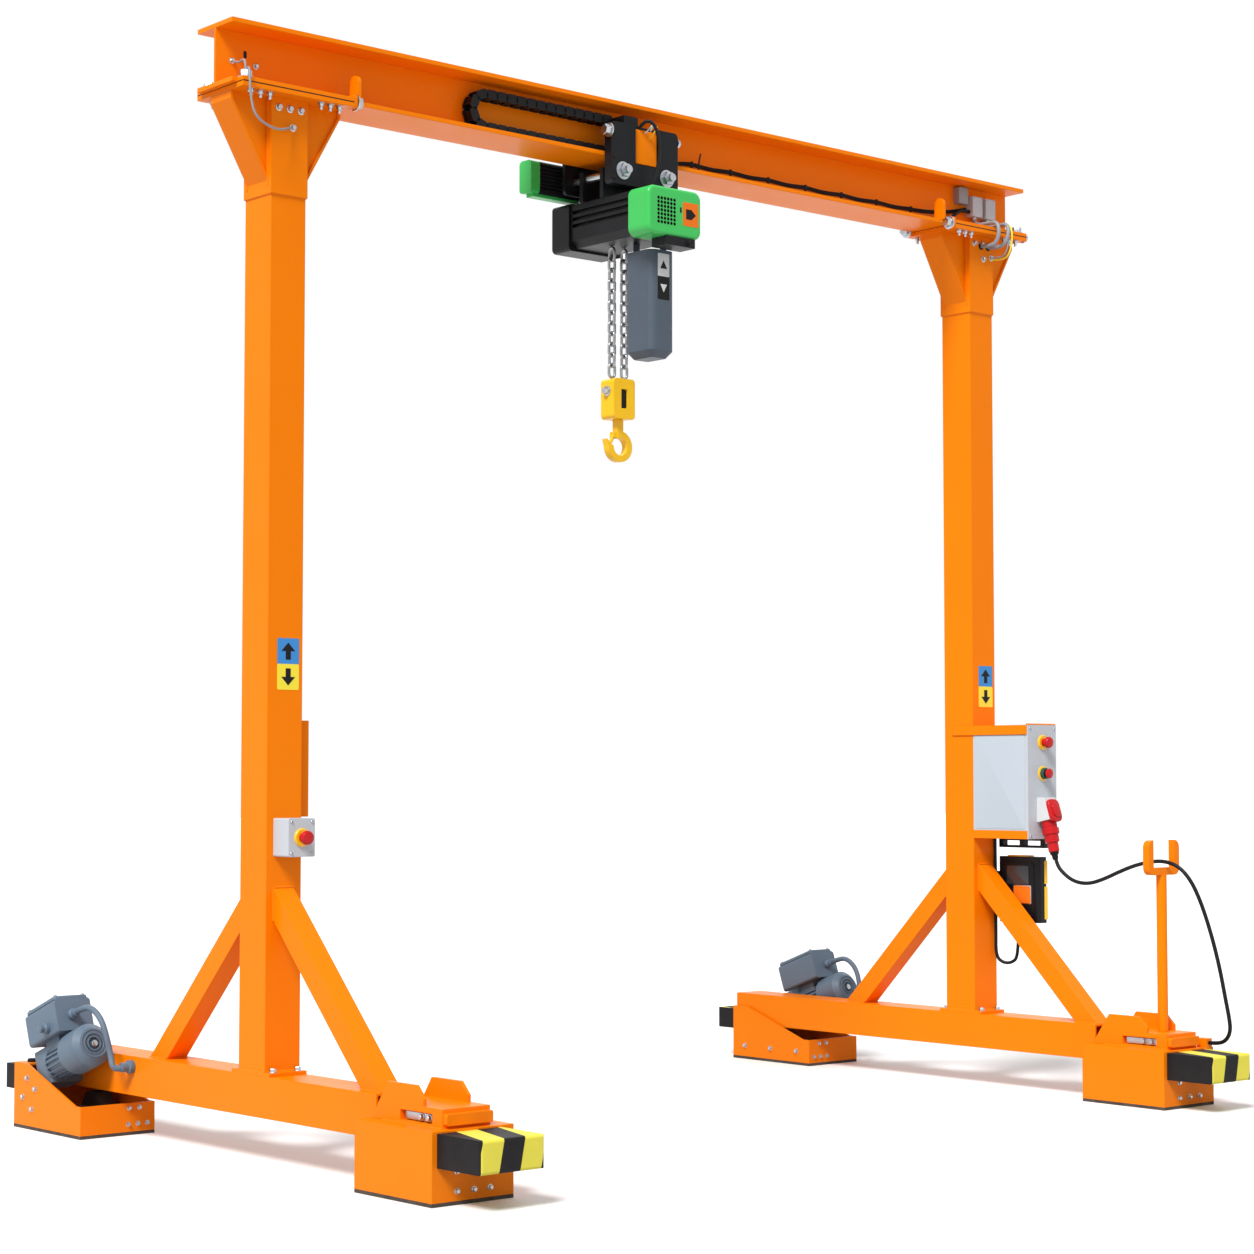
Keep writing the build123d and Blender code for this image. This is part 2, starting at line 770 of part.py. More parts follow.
# Supply cord: from the plug in a slack bow over the fork, then down to the gland
cord_stations = ((3, -492, 900), (5, -548, 868), (6, -622, 862), (6, -700, 884), (4, -780, 916),
                 (1, -862, 944), (-2, -945, 962), (-3, -1022, 966), (2, -1090, 942), (15, -1136, 884),
                 (32, -1165, 806), (50, -1187, 716), (68, -1205, 620), (84, -1219, 522), (97, -1229, 428),
                 (106, -1240, 350), (111, -1242, 300), (112, -1222, 262), (112, -1185, gland_z))
cord_points = [tuple(plug_end), tuple(plug_end + plug_down * plug_lead)]
cord_points += [(cabinet_x + x, column_y + y, z) for x, y, z in cord_stations]
cord_points += [(gland_x, front_wall_y, gland_z)]
cord_radii = bend_radii(cord_points)
print("supply cord radii", [round(radius) for radius in cord_radii])
with BuildPart() as supply_cord:
    with BuildLine() as supply_route:
        FilletPolyline(*cord_points, radius=cord_radii)
    with BuildSketch(section_plane(cord_points)):
        Circle(cord_diameter / 2)
    sweep()
print("supply cord length", round(supply_route.wire().length), "volume", round(supply_cord.part.volume))
keep(supply_cord, "supply_cord")

# Pendant control beside the column, with the gland of its cord below
pendant_x = column_x + pendant_shift
pendant_y = column_y - pendant_front
pendant_back_y = pendant_y + pendant_depth / 2
gland_y = pendant_y + pendant_gland_back
with BuildPart() as pendant:
    with BuildSketch(Plane.XY.offset(pendant_bottom)):
        with Locations((pendant_x, pendant_y)):
            RectangleRounded(pendant_width, pendant_depth, pendant_corner)
    extrude(amount=pendant_height)
    with BuildSketch(Plane.XY.offset(pendant_bottom - pendant_gland_length)):
        with Locations((pendant_x, gland_y)):
            Circle(pendant_gland / 2)
    extrude(amount=pendant_gland_length)
keep(pendant, "pendant")

# Grip bracket under the cabinet, and the plate that holds the pendant to the side of the column
column_side_x = column_x + column_width / 2
bracket_x = about(column_x + bracket_shift, bracket_width)
bracket_y = about(column_y - bracket_front, bracket_length)
bracket_low = cabinet_bottom - bracket_drop
bracket_gap = (bracket_length - (bracket_gaps + 1) * bracket_post) / bracket_gaps
with BuildPart() as pendant_bracket:
    block(bracket_x, bracket_y, (bracket_low, cabinet_bottom))
    for number in range(bracket_gaps):
        gap_y = bracket_y[0] + bracket_post + number * (bracket_gap + bracket_post)
        block(bracket_x, (gap_y, gap_y + bracket_gap),
              (bracket_low + bracket_bar, cabinet_bottom - bracket_bar), mode=Mode.SUBTRACT)
    block((column_side_x, column_side_x + holder_plate), (pendant_back_y, column_front_y + holder_grip),
          (holder_bottom, holder_bottom + holder_height))
keep(pendant_bracket, "pendant_bracket")

# Pendant cord: down from the pendant, round a loop and up the front of the column into the cabinet
gland_offset = gland_y - column_y
pendant_stations = ((pendant_shift, gland_offset, 540), (84, -153, 511), (67, -116.5, 511), (54, -90.5, 540),
                    (54, -92, 640), (55, -90.5, 760), (54, -92, 880), (54, -90.5, 975),
                    (54, -90.5, cabinet_bottom))
pendant_points = [(pendant_x, gland_y, pendant_bottom - pendant_gland_length)]
pendant_points += [(column_x + x, column_y + y, z) for x, y, z in pendant_stations]
pendant_radii = bend_radii(pendant_points)
print("pendant cord radii", [round(radius) for radius in pendant_radii])
with BuildPart() as pendant_cord:
    with BuildLine() as pendant_route:
        FilletPolyline(*pendant_points, radius=pendant_radii)
    with BuildSketch(section_plane(pendant_points)):
        Circle(pendant_cord_diameter / 2)
    sweep()
print("pendant cord length", round(pendant_route.wire().length), "volume", round(pendant_cord.part.volume))
keep(pendant_cord, "pendant_cord")

# End stops: upright plates with rounded tops on both sides of the web
with BuildPart() as end_stops:
    for _, side in SIDES:
        for way in (-1, 1):
            stop_y = column_y + way * (stop_web_gap + stop_width / 2)
            with BuildSketch(Plane.YZ.offset(side * (column_x - stop_inset))):
                with Locations((stop_y, flange_top + (stop_height - stop_width / 2) / 2)):
                    Rectangle(stop_width, stop_height - stop_width / 2)
                with Locations((stop_y, flange_top + stop_height - stop_width / 2)):
                    Circle(stop_width / 2)
            extrude(amount=stop_plate / 2, both=True)
keep(end_stops, "end_stops")

# Junction boxes on the web at the right end
web_front_y = column_y - beam_web / 2
junction_x = beam_length / 2 - junction_end
with BuildPart() as junction_boxes:
    for number in range(junction_count):
        block(about(junction_x + number * junction_pitch, junction_width),
              (web_front_y - junction_depth, web_front_y),
              (flange_top + junction_rise, flange_top + junction_rise + junction_height))
keep(junction_boxes, "junction_boxes")

# Cable along the flange from the fixed end of the cable chain to the junction boxes
cable_y = web_front_y - chain_web_gap - chain_width / 2
cable_z = flange_top + cable_diameter / 2 + seat_gap
cable_entry_x = junction_x - junction_width / 2
cable_entry_y = web_front_y - junction_depth / 2
cable_entry_z = flange_top + junction_rise + junction_height / 4
cable_turn_x = cable_entry_x - cable_lead
cable_lift_x = cable_turn_x - cable_lift_run
cable_third = (cable_lift_x - cable_lift_run - chain_fixed_end) / 3
cable_points = [(chain_fixed_end, cable_y, cable_z), (chain_fixed_end + cable_third, cable_y, cable_z),
                (chain_fixed_end + 2 * cable_third, cable_y + cable_bow, cable_z),
                (cable_lift_x - cable_lift_run, cable_y, cable_z),
                (cable_lift_x, cable_y + cable_bow, cable_z + cable_diameter / 2),
                (cable_turn_x, cable_entry_y, cable_entry_z), (cable_entry_x, cable_entry_y, cable_entry_z)]
with BuildPart() as flange_cable:
    with BuildLine():
        FilletPolyline(*cable_points, radius=bend_radii(cable_points))
    with BuildSketch(section_plane(cable_points)):
        Circle(cable_diameter / 2)
    sweep()
keep(flange_cable, "flange_cable")

# Cable chain: lower run on the flange, round a loop, upper run back to the trolley
chain_low_z = flange_top + chain_height / 2
chain_bend = chain_rise / 2
chain_turn_x = -chain_loop_end + chain_height / 2 + chain_bend
chain_moving_x = trolley_x - chain_arm_back
with BuildPart() as cable_chain:
    with BuildLine(Plane.XZ.offset(-cable_y)):
        Polyline((chain_fixed_end, chain_low_z), (chain_turn_x, chain_low_z))
        ThreePointArc((chain_turn_x, chain_low_z), (chain_turn_x - chain_bend, chain_low_z + chain_bend),
                      (chain_turn_x, chain_low_z + chain_rise))
        Polyline((chain_turn_x, chain_low_z + chain_rise), (chain_moving_x, chain_low_z + chain_rise))
    chain_end = Plane(origin=(chain_fixed_end, cable_y, chain_low_z), x_dir=(0, 1, 0), z_dir=(-1, 0, 0))
    with BuildSketch(chain_end):
        Rectangle(chain_width, chain_height)
    sweep()
keep(cable_chain, "cable_chain")

# Trolley side plates, drilled for the tie rods: a thick pocketed one in front and a plain one behind
chain_arm_z = chain_low_z + chain_rise
with BuildPart() as trolley_plates:
    for near, far in ((-plate_inner, -front_plate_outer), (plate_inner, rear_plate_outer)):
        with BuildSketch(Plane.XZ.offset(-(column_y + near))):
            with Locations((trolley_x, (trolley_top + trolley_bottom) / 2)):
                RectangleRounded(trolley_length, trolley_top - trolley_bottom, trolley_corner)
            with Locations((trolley_x, rod_height)):
                with GridLocations(rod_spread, 0, 2, 1):
                    Circle(rod_diameter / 2 + seat_gap, mode=Mode.SUBTRACT)
        extrude(amount=near - far)
    pocket_y = column_y - front_plate_outer
    block(about(trolley_x + recess_shift, recess_width), (pocket_y, pocket_y + recess_depth),
          (trolley_top - recess_height, trolley_top), mode=Mode.SUBTRACT)
    arm_x = (chain_moving_x, chain_moving_x + arm_width)
    arm_y = column_y - plate_inner
    block(arm_x, (arm_y, cable_y + chain_width / 2), about(chain_arm_z, arm_thick))
    block(arm_x, (arm_y - arm_thick, arm_y), (trolley_top - arm_width, chain_arm_z + arm_thick / 2))
keep(trolley_plates, "trolley_plates")

# Tie rods between the plates, with a nut on each end
with BuildPart() as tie_rods:
    for way in (-1, 1):
        rod_x = trolley_x + way * rod_spread / 2
        front_end = front_plate_outer + rod_overhang
        with BuildSketch(Plane.XZ.offset(front_end - column_y)):
            with Locations((rod_x, rod_height)):
                Circle(rod_diameter / 2)
        extrude(amount=-(front_end + rear_plate_outer + rod_overhang))
        for face_y, thick in ((-front_plate_outer, nut_thick), (rear_plate_outer, -nut_thick)):
            with BuildSketch(Plane.XZ.offset(-(column_y + face_y))):
                with Locations((rod_x, rod_height)):
                    RegularPolygon(nut_size / 2, 6)
            extrude(amount=thick)
keep(tie_rods, "tie_rods")

# Rollers on the bottom flange, each on a stub axle from its plate
with BuildPart() as trolley_rollers:
    roller_z = flange_top + seat_gap + roller_diameter / 2
    for way in (-1, 1):
        for roller_x in about(trolley_x, roller_spread):
            with BuildSketch(Plane.XZ.offset(-(column_y + way * plate_inner))):
                with Locations((roller_x, roller_z)):
                    Circle(roller_axle / 2)
            extrude(amount=way * roller_gap)
            with BuildSketch(Plane.XZ.offset(-(column_y + way * (plate_inner - roller_gap)))):
                with Locations((roller_x, roller_z)):
                    Circle(roller_diameter / 2)
            extrude(amount=way * roller_width)
keep(trolley_rollers, "trolley_rollers")

# Trolley drive behind the beam: gear case on the rear plate and a ribbed motor along the beam
drive_y = column_y + rear_plate_outer + drive_gap + drive_depth / 2
drive_z = beam_bottom - drive_drop
gear_start_x = trolley_x - drive_gear_start
drive_end_x = gear_start_x - drive_length
with BuildPart() as trolley_drive:
    block((gear_start_x, gear_start_x + drive_gear_length),
          (column_y + rear_plate_outer, drive_y + drive_depth / 2), about(drive_z, drive_height))
    with BuildSketch(Plane.YZ.offset(gear_start_x)):
        with Locations((drive_y, drive_z)):
            RectangleRounded(drive_depth, drive_height, drive_corner)
        for number in range(drive_fins):
            fin_z = drive_z + (number - (drive_fins - 1) / 2) * drive_fin_pitch
            for way in (-1, 1):
                with Locations((drive_y + way * drive_depth / 2, fin_z)):
                    Rectangle(2 * drive_fin_depth, drive_fin_pitch / 2, mode=Mode.SUBTRACT)
    extrude(amount=-drive_length)
keep(trolley_drive, "trolley_drive")

with BuildPart() as drive_cover:
    with BuildSketch(Plane.YZ.offset(drive_end_x)):
        with Locations((drive_y, drive_z)):
            RectangleRounded(drive_depth, drive_height, drive_corner)
    extrude(amount=-drive_cap)
    block((drive_end_x - drive_cap / 2, gear_start_x), about(drive_y, drive_depth - 2 * drive_corner),
          (drive_z - drive_height / 2 - drive_tray, drive_z - drive_height / 2))
keep(drive_cover, "drive_cover")

# Hoist body: a housing with cooling slots on its flanks, hung from the tie rods by two plates
body_front_y = hoist_front_y + cap_length
body_back_y = hoist_back_y - gear_cover_length
body_width = hoist_width - 2 * body_inset
with BuildPart() as hoist_body:
    block(about(trolley_x, body_width), (body_front_y, body_back_y), (body_bottom, body_top))
    chamfer(hoist_body.edges().filter_by(Axis.Y).group_by(Axis.Z)[0], body_chamfer)
    for number in range(slot_count):
        slot_z = body_top - flank_slot_top - number * flank_slot_pitch
        for way in (-1, 1):
            flank = trolley_x + way * body_width / 2
            block((flank, flank - way * flank_slot_depth),
                  (body_front_y + flank_slot_margin, body_back_y - flank_slot_margin),
                  about(slot_z, flank_slot_height), mode=Mode.SUBTRACT)
    for way in (-1, 1):
        hanger_y = column_y + way * hanger_spread / 2
        block(about(trolley_x, hanger_length), about(hanger_y, hanger_plate),
              (body_top, rod_height + hanger_rim))
    with BuildSketch(Plane.XZ.offset(-column_y)):
        with Locations((trolley_x, rod_height)):
            with GridLocations(rod_spread, 0, 2, 1):
                Circle(rod_diameter / 2 + seat_gap)
    extrude(amount=hanger_spread, both=True, mode=Mode.SUBTRACT)
keep(hoist_body, "hoist_body")

with BuildPart() as hoist_gear_cover:
    block(about(trolley_x, hoist_width), (body_back_y, hoist_back_y), (hoist_bottom, hoist_top))
    fillet(hoist_gear_cover.edges().filter_by(Axis.Y), gear_cover_corner)
    chamfer(hoist_gear_cover.faces().sort_by(Axis.Y)[-1].edges(), gear_cover_edge)
keep(hoist_gear_cover, "hoist_gear_cover")

# Motor cap with rounded edges and a grille of six-sided holes
with BuildPart() as hoist_motor_cap:
    block(about(trolley_x, hoist_width), (hoist_front_y, body_front_y), (hoist_bottom, hoist_top))
    fillet(hoist_motor_cap.edges().filter_by(Axis.Y), cap_corner)
    fillet(hoist_motor_cap.faces().sort_by(Axis.Y)[0].edges(), cap_edge)
    with BuildSketch(Plane.XZ.offset(-hoist_front_y)):
        with Locations((trolley_x - hole_shift, hoist_top - hoist_height / 2)):
            with GridLocations(hole_pitch_x, hole_pitch_z, hole_columns, hole_rows):
                RegularPolygon(hole_width / 2, 6)
    extrude(amount=-hole_depth, mode=Mode.SUBTRACT)
keep(hoist_motor_cap, "hoist_motor_cap")

with BuildPart() as hoist_control_box:
    block(about(trolley_x + control_box_shift, control_box_width),
          (hoist_front_y, hoist_front_y + control_box_length),
          (hoist_bottom - control_box_drop, hoist_bottom))
keep(hoist_control_box, "hoist_control_box")

# Chain bag under the hoist: open above, with a tapered bottom
bag_x = trolley_x + bag_shift
bag_y = column_y - bag_front
with BuildPart() as bag_hollow:
    with BuildSketch(Plane.XY.offset(bag_top)):
        with Locations((bag_x, bag_y)):
            RectangleRounded(bag_width - 2 * bag_wall, bag_depth - 2 * bag_wall, bag_corner - bag_wall)
    extrude(amount=bag_wall - bag_height)
    chamfer(bag_hollow.faces().sort_by(Axis.Z)[0].edges(), bag_taper)
with BuildPart() as chain_bag:
    with BuildSketch(Plane.XY.offset(bag_top)):
        with Locations((bag_x, bag_y)):
            RectangleRounded(bag_width, bag_depth, bag_corner)
    extrude(amount=-bag_height)
    chamfer(chain_bag.faces().sort_by(Axis.Z)[0].edges(), bag_taper)
    add(bag_hollow.part, mode=Mode.SUBTRACT)
    for wall_y, lug_height_z in ((bag_y - (bag_depth - bag_wall) / 2, hoist_bottom),
                                 (bag_y + (bag_depth - bag_wall) / 2, body_bottom)):
        block(about(bag_x, bag_lug_width), about(wall_y, bag_wall), (bag_top, lug_height_z))
keep(chain_bag, "chain_bag")

# Load chain: two falls of interlocked links between the hoist and the bottom block
fall_height = body_bottom - block_top - 2 * seat_gap
link_count = int((fall_height - 2 * link_bar) / link_step)
link_pitch = (fall_height - 2 * link_bar - seat_gap) / link_count
link_inner = link_pitch + seat_gap
with BuildPart() as chain_link:
    with BuildSketch(Plane.XZ):
        Rectangle(link_width, link_inner + 2 * link_bar)
        Rectangle(link_width - 2 * link_bar, link_inner, mode=Mode.SUBTRACT)
    extrude(amount=link_bar / 2, both=True)
    chamfer(chain_link.edges().filter_by(Axis.Y).group_by(Axis.Z)[0], link_chamfer)
    chamfer(chain_link.edges().filter_by(Axis.Y).group_by(Axis.Z)[-1], link_chamfer)
with BuildPart() as load_chain:
    for fall_x in about(trolley_x, fall_spread):
        for number in range(link_count):
            link_z = block_top + seat_gap + link_inner / 2 + link_bar + number * link_pitch
            with Locations(Location((fall_x, column_y, link_z), (0, 0, 90 * (number % 2)))):
                add(chain_link.part)
keep(load_chain, "load_chain")

# Bottom block with a window in its front
with BuildPart() as bottom_block:
    with BuildSketch(Plane.XZ.offset(-column_y)):
        with Locations((trolley_x, block_top - block_height / 2)):
            RectangleRounded(block_width, block_height, block_corner)
    extrude(amount=block_depth / 2, both=True)
    block_front_y = column_y - block_depth / 2
    block(about(trolley_x, window_width), (block_front_y, block_front_y + window_depth),
          about(block_top - block_height / 2, window_height), mode=Mode.SUBTRACT)
keep(bottom_block, "bottom_block")

# Hook: a ring open at the upper left, with a shank, a raised tip and two ears for the latch
hook_outer = hook_bowl + hook_wall
shank_left = trolley_x - hook_shank / 2
with BuildPart() as hook:
    with BuildSketch(Plane.XZ.offset(-column_y)):
        with Locations((trolley_x, bowl_z)):
            Circle(hook_outer)
            Circle(hook_bowl, mode=Mode.SUBTRACT)
        with BuildLine():
            Polyline((trolley_x - 2 * hook_outer, bowl_z), (shank_left, bowl_z),
                     (shank_left, bowl_z + 2 * hook_outer),
                     (trolley_x - 2 * hook_outer, bowl_z + 2 * hook_outer), close=True)
        make_face(mode=Mode.SUBTRACT)
        with BuildLine():
            Polyline((trolley_x - hook_outer, bowl_z),
                     (trolley_x - hook_outer - hook_tip_out, bowl_z + hook_tip_rise),
                     (trolley_x - hook_bowl, bowl_z), close=True)
        make_face()
        with Locations((trolley_x, (bowl_z + hook_bowl + block_bottom - seat_gap) / 2)):
            Rectangle(hook_shank, block_bottom - seat_gap - bowl_z - hook_bowl)
    extrude(amount=hook_thick / 2, both=True)
    ear_y = latch_thick / 2 + seat_gap
    for way in (-1, 1):
        block((shank_left - ear_length, shank_left),
              (column_y + way * ear_y, column_y + way * (ear_y + ear_plate)),
              about(bowl_z + latch_rise, ear_height))
    with BuildSketch(Plane.XZ.offset(-column_y)):
        with Locations((shank_left - ear_length / 2, bowl_z + latch_rise)):
            Circle(latch_pin / 2 + pin_gap)
    extrude(amount=hook_thick, both=True, mode=Mode.SUBTRACT)
keep(hook, "hook")

# Latch: a bar on a pin between the ears, closing the mouth against the tip
latch_x = shank_left - ear_length / 2
latch_z = bowl_z + latch_rise
latch_end_x = trolley_x - hook_bowl - latch_depth
latch_end_z = bowl_z + hook_tip_rise / 2
with BuildPart() as hook_latch:
    with BuildSketch(Plane.XZ.offset(-column_y)):
        with BuildLine():
            Polyline((latch_x - latch_depth, latch_z), (latch_x + latch_depth, latch_z),
                     (latch_end_x + latch_depth, latch_end_z), (latch_end_x, latch_end_z), close=True)
        make_face()
        with Locations((latch_x, latch_z)):
            Circle(latch_depth)
    extrude(amount=latch_thick / 2, both=True)
    with BuildSketch(Plane.XZ.offset(-column_y)):
        with Locations((latch_x, latch_z)):
            Circle(latch_pin / 2)
    extrude(amount=ear_y + ear_plate, both=True)
keep(hook_latch, "hook_latch")
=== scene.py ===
"""Looks of an electrically driven gantry crane: finishes, fasteners, welds, chains, cables and signs."""
import json
import logging
import math
from dataclasses import dataclass
from enum import Enum
from functools import cache

import bpy
import numpy as np
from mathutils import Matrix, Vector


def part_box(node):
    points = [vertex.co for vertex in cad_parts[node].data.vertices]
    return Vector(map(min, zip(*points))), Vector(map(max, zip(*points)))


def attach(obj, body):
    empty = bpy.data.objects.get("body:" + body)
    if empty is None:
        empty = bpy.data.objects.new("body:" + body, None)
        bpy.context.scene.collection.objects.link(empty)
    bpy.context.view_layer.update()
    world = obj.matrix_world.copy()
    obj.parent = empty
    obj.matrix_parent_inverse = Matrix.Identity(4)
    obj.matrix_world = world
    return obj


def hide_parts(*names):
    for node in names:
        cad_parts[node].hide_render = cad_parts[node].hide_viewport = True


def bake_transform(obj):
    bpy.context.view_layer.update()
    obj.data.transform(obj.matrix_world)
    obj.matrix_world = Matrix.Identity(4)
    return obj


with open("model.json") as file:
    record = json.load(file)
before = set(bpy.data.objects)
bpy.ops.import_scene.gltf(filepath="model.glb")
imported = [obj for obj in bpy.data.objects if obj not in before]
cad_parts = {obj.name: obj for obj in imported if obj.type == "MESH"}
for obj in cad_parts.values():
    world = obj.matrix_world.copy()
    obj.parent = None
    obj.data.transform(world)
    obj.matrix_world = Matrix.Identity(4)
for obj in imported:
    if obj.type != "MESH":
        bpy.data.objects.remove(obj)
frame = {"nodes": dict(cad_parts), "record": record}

logging.basicConfig(level=logging.INFO, format="%(message)s")
log = logging.getLogger("gantry_crane")

Array = np.ndarray
Vec = tuple[float, float, float]
Pair = tuple[float, float]
Places = list[Vec] | Array
Tree = bpy.types.NodeTree
Socket = bpy.types.NodeSocket
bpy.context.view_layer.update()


class Body(str, Enum):
    """The bodies that carry new pieces."""

    FRAME = "frame"
    TROLLEY = "trolley"
    BLOCK = "lower_block"


class Side(Enum):
    """The two legs of the portal, with the sign of their X."""

    LEFT = -1
    RIGHT = 1


class Axis(Enum):
    """Outward directions of the faces that carry fasteners and signs."""

    LEFT = (-1.0, 0.0, 0.0)
    RIGHT = (1.0, 0.0, 0.0)
    FRONT = (0.0, -1.0, 0.0)
    BACK = (0.0, 1.0, 0.0)
    UP = (0.0, 0.0, 1.0)
    DOWN = (0.0, 0.0, -1.0)


def feed(tree: Tree, socket: Socket, value: object) -> None:
    """Link a socket to its source, or set its number or colour."""
    if isinstance(value, Socket):
        tree.links.new(value, socket)
    else:
        socket.default_value = value


def math_node(tree: Tree, operation: str, *values: float | Socket, clamp: bool = False) -> Socket:
    """Add a math node.

    Args:
        tree: The nodes that it joins.
        operation: What it does.
        values: Numbers to set or sockets to link, in the order of its inputs.
        clamp: Whether the result stays between 0 and 1.

    Returns:
        Its output.
    """
    node = tree.nodes.new("ShaderNodeMath")
    node.operation, node.use_clamp = operation, clamp
    for socket, value in zip(node.inputs, values):
        feed(tree, socket, value)
    return node.outputs[0]


def noise_node(tree: Tree, place: Socket, scale: float | Socket, detail: float) -> Socket:
    """Add a noise over a place, and give its strength from 0 to 1."""
    node = tree.nodes.new("ShaderNodeTexNoise")
    for name, value in (("Vector", place), ("Scale", scale), ("Detail", detail)):
        feed(tree, node.inputs[name], value)
    return node.outputs["Fac"]


def range_node(tree: Tree, value: Socket, top: float, low: float, high: float) -> Socket:
    """Add a node that carries 0 to top over to low to high, and holds at both ends."""
    node = tree.nodes.new("ShaderNodeMapRange")
    for name, level in (("Value", value), ("From Max", top), ("To Min", low), ("To Max", high)):
        feed(tree, node.inputs[name], level)
    return node.outputs["Result"]


def mix_node(tree: Tree, share: Socket, first: object, second: object) -> Socket:
    """Add a mix of two colours, each a socket or a value, that goes to the second as the share grows."""
    node = tree.nodes.new("ShaderNodeMix")
    node.data_type = "RGBA"
    for name, value in (("Factor", share), ("A", first), ("B", second)):
        feed(tree, node.inputs[name], value)
    return node.outputs["Result"]


class Effects:
    """Shader node groups that several finishes share."""

    KINDS = {"Vector": "NodeSocketVector", "Normal": "NodeSocketVector", "Color": "NodeSocketColor"}
    DUST_COLOR = (0.50, 0.40, 0.30, 1)
    DUST_TOP = 0.30
    EDGE_RADIUS = 0.0035

    @classmethod
    def _start(cls, name: str, inputs: list[str], outputs: list[str]) -> tuple:
        """Make an empty group with named sockets.

        Args:
            name: Name of the group.
            inputs: Names of the sockets that go in.
            outputs: Names of the sockets that come out.

        Returns:
            The group, the sockets that bring its inputs and the sockets that take its outputs.
        """
        group = bpy.data.node_groups.new(name, "ShaderNodeTree")
        for way, sockets in (("INPUT", inputs), ("OUTPUT", outputs)):
            for socket in sockets:
                kind = cls.KINDS.get(socket, "NodeSocketFloat")
                group.interface.new_socket(socket, in_out=way, socket_type=kind)
        come, go = group.nodes.new("NodeGroupInput"), group.nodes.new("NodeGroupOutput")
        return group, come.outputs, go.inputs

    @classmethod
    @cache
    def tone_drift(cls) -> Tree:
        """Colour that drifts lighter and darker in large soft clouds.

        Returns:
            The group: value = 1 plus or minus Amount, by a noise of the given Scale.
        """
        group, come, go = cls._start("tone_drift", ["Vector", "Color", "Amount", "Scale"], ["Color"])
        cloud = noise_node(group, come["Vector"], come["Scale"], 4)
        swing = math_node(group, "MULTIPLY_ADD", cloud, 2.0, -1.0)
        tone = group.nodes.new("ShaderNodeHueSaturation")
        feed(group, tone.inputs["Value"], math_node(group, "MULTIPLY_ADD", swing, come["Amount"], 1.0))
        feed(group, tone.inputs["Color"], come["Color"])
        feed(group, go["Color"], tone.outputs["Color"])
        return group

    @classmethod
    @cache
    def skin_grain(cls) -> Tree:
        """Fine height of a paint or plastic skin, and a roughness that wanders about its mean.

        Returns:
            The group: height is a fine noise, roughness its mean plus Spread times a coarse noise.
        """
        inputs = ["Vector", "Scale", "Roughness", "Spread"]
        group, come, go = cls._start("skin_grain", inputs, ["Height", "Roughness"])
        feed(group, go["Height"], noise_node(group, come["Vector"], come["Scale"], 3))
        swing = math_node(group, "SUBTRACT", noise_node(group, come["Vector"], 7, 6), 0.5)
        total = math_node(group, "MULTIPLY_ADD", swing, come["Spread"], come["Roughness"], clamp=True)
        feed(group, go["Roughness"], total)
        return group

    @classmethod
    @cache
    def floor_dust(cls) -> Tree:
        """Pale dust that fades out above the floor.

        Returns:
            The group: mask = Amount times a noise times how far the point is below the dust line.
        """
        group, come, go = cls._start("floor_dust", ["Vector", "Color", "Amount"], ["Color"])
        axes = group.nodes.new("ShaderNodeSeparateXYZ")
        feed(group, axes.inputs[0], come["Vector"])
        fade = range_node(group, axes.outputs["Z"], cls.DUST_TOP, 1.0, 0.0)
        mask = math_node(group, "MULTIPLY", fade, noise_node(group, come["Vector"], 22, 8))
        mask = math_node(group, "MULTIPLY", mask, come["Amount"])
        feed(group, go["Color"], mix_node(group, mask, come["Color"], cls.DUST_COLOR))
        return group

    @classmethod
    @cache
    def soft_edges(cls) -> Tree:
        """Normal that rolls over sharp edges.

        Returns:
            The group: the surface normal averaged over a small radius.
        """
        group, _, go = cls._start("soft_edges", [], ["Normal"])
        bevel = group.nodes.new("ShaderNodeBevel")
        bevel.samples = 4
        bevel.inputs["Radius"].default_value = cls.EDGE_RADIUS
        feed(group, go["Normal"], bevel.outputs["Normal"])
        return group


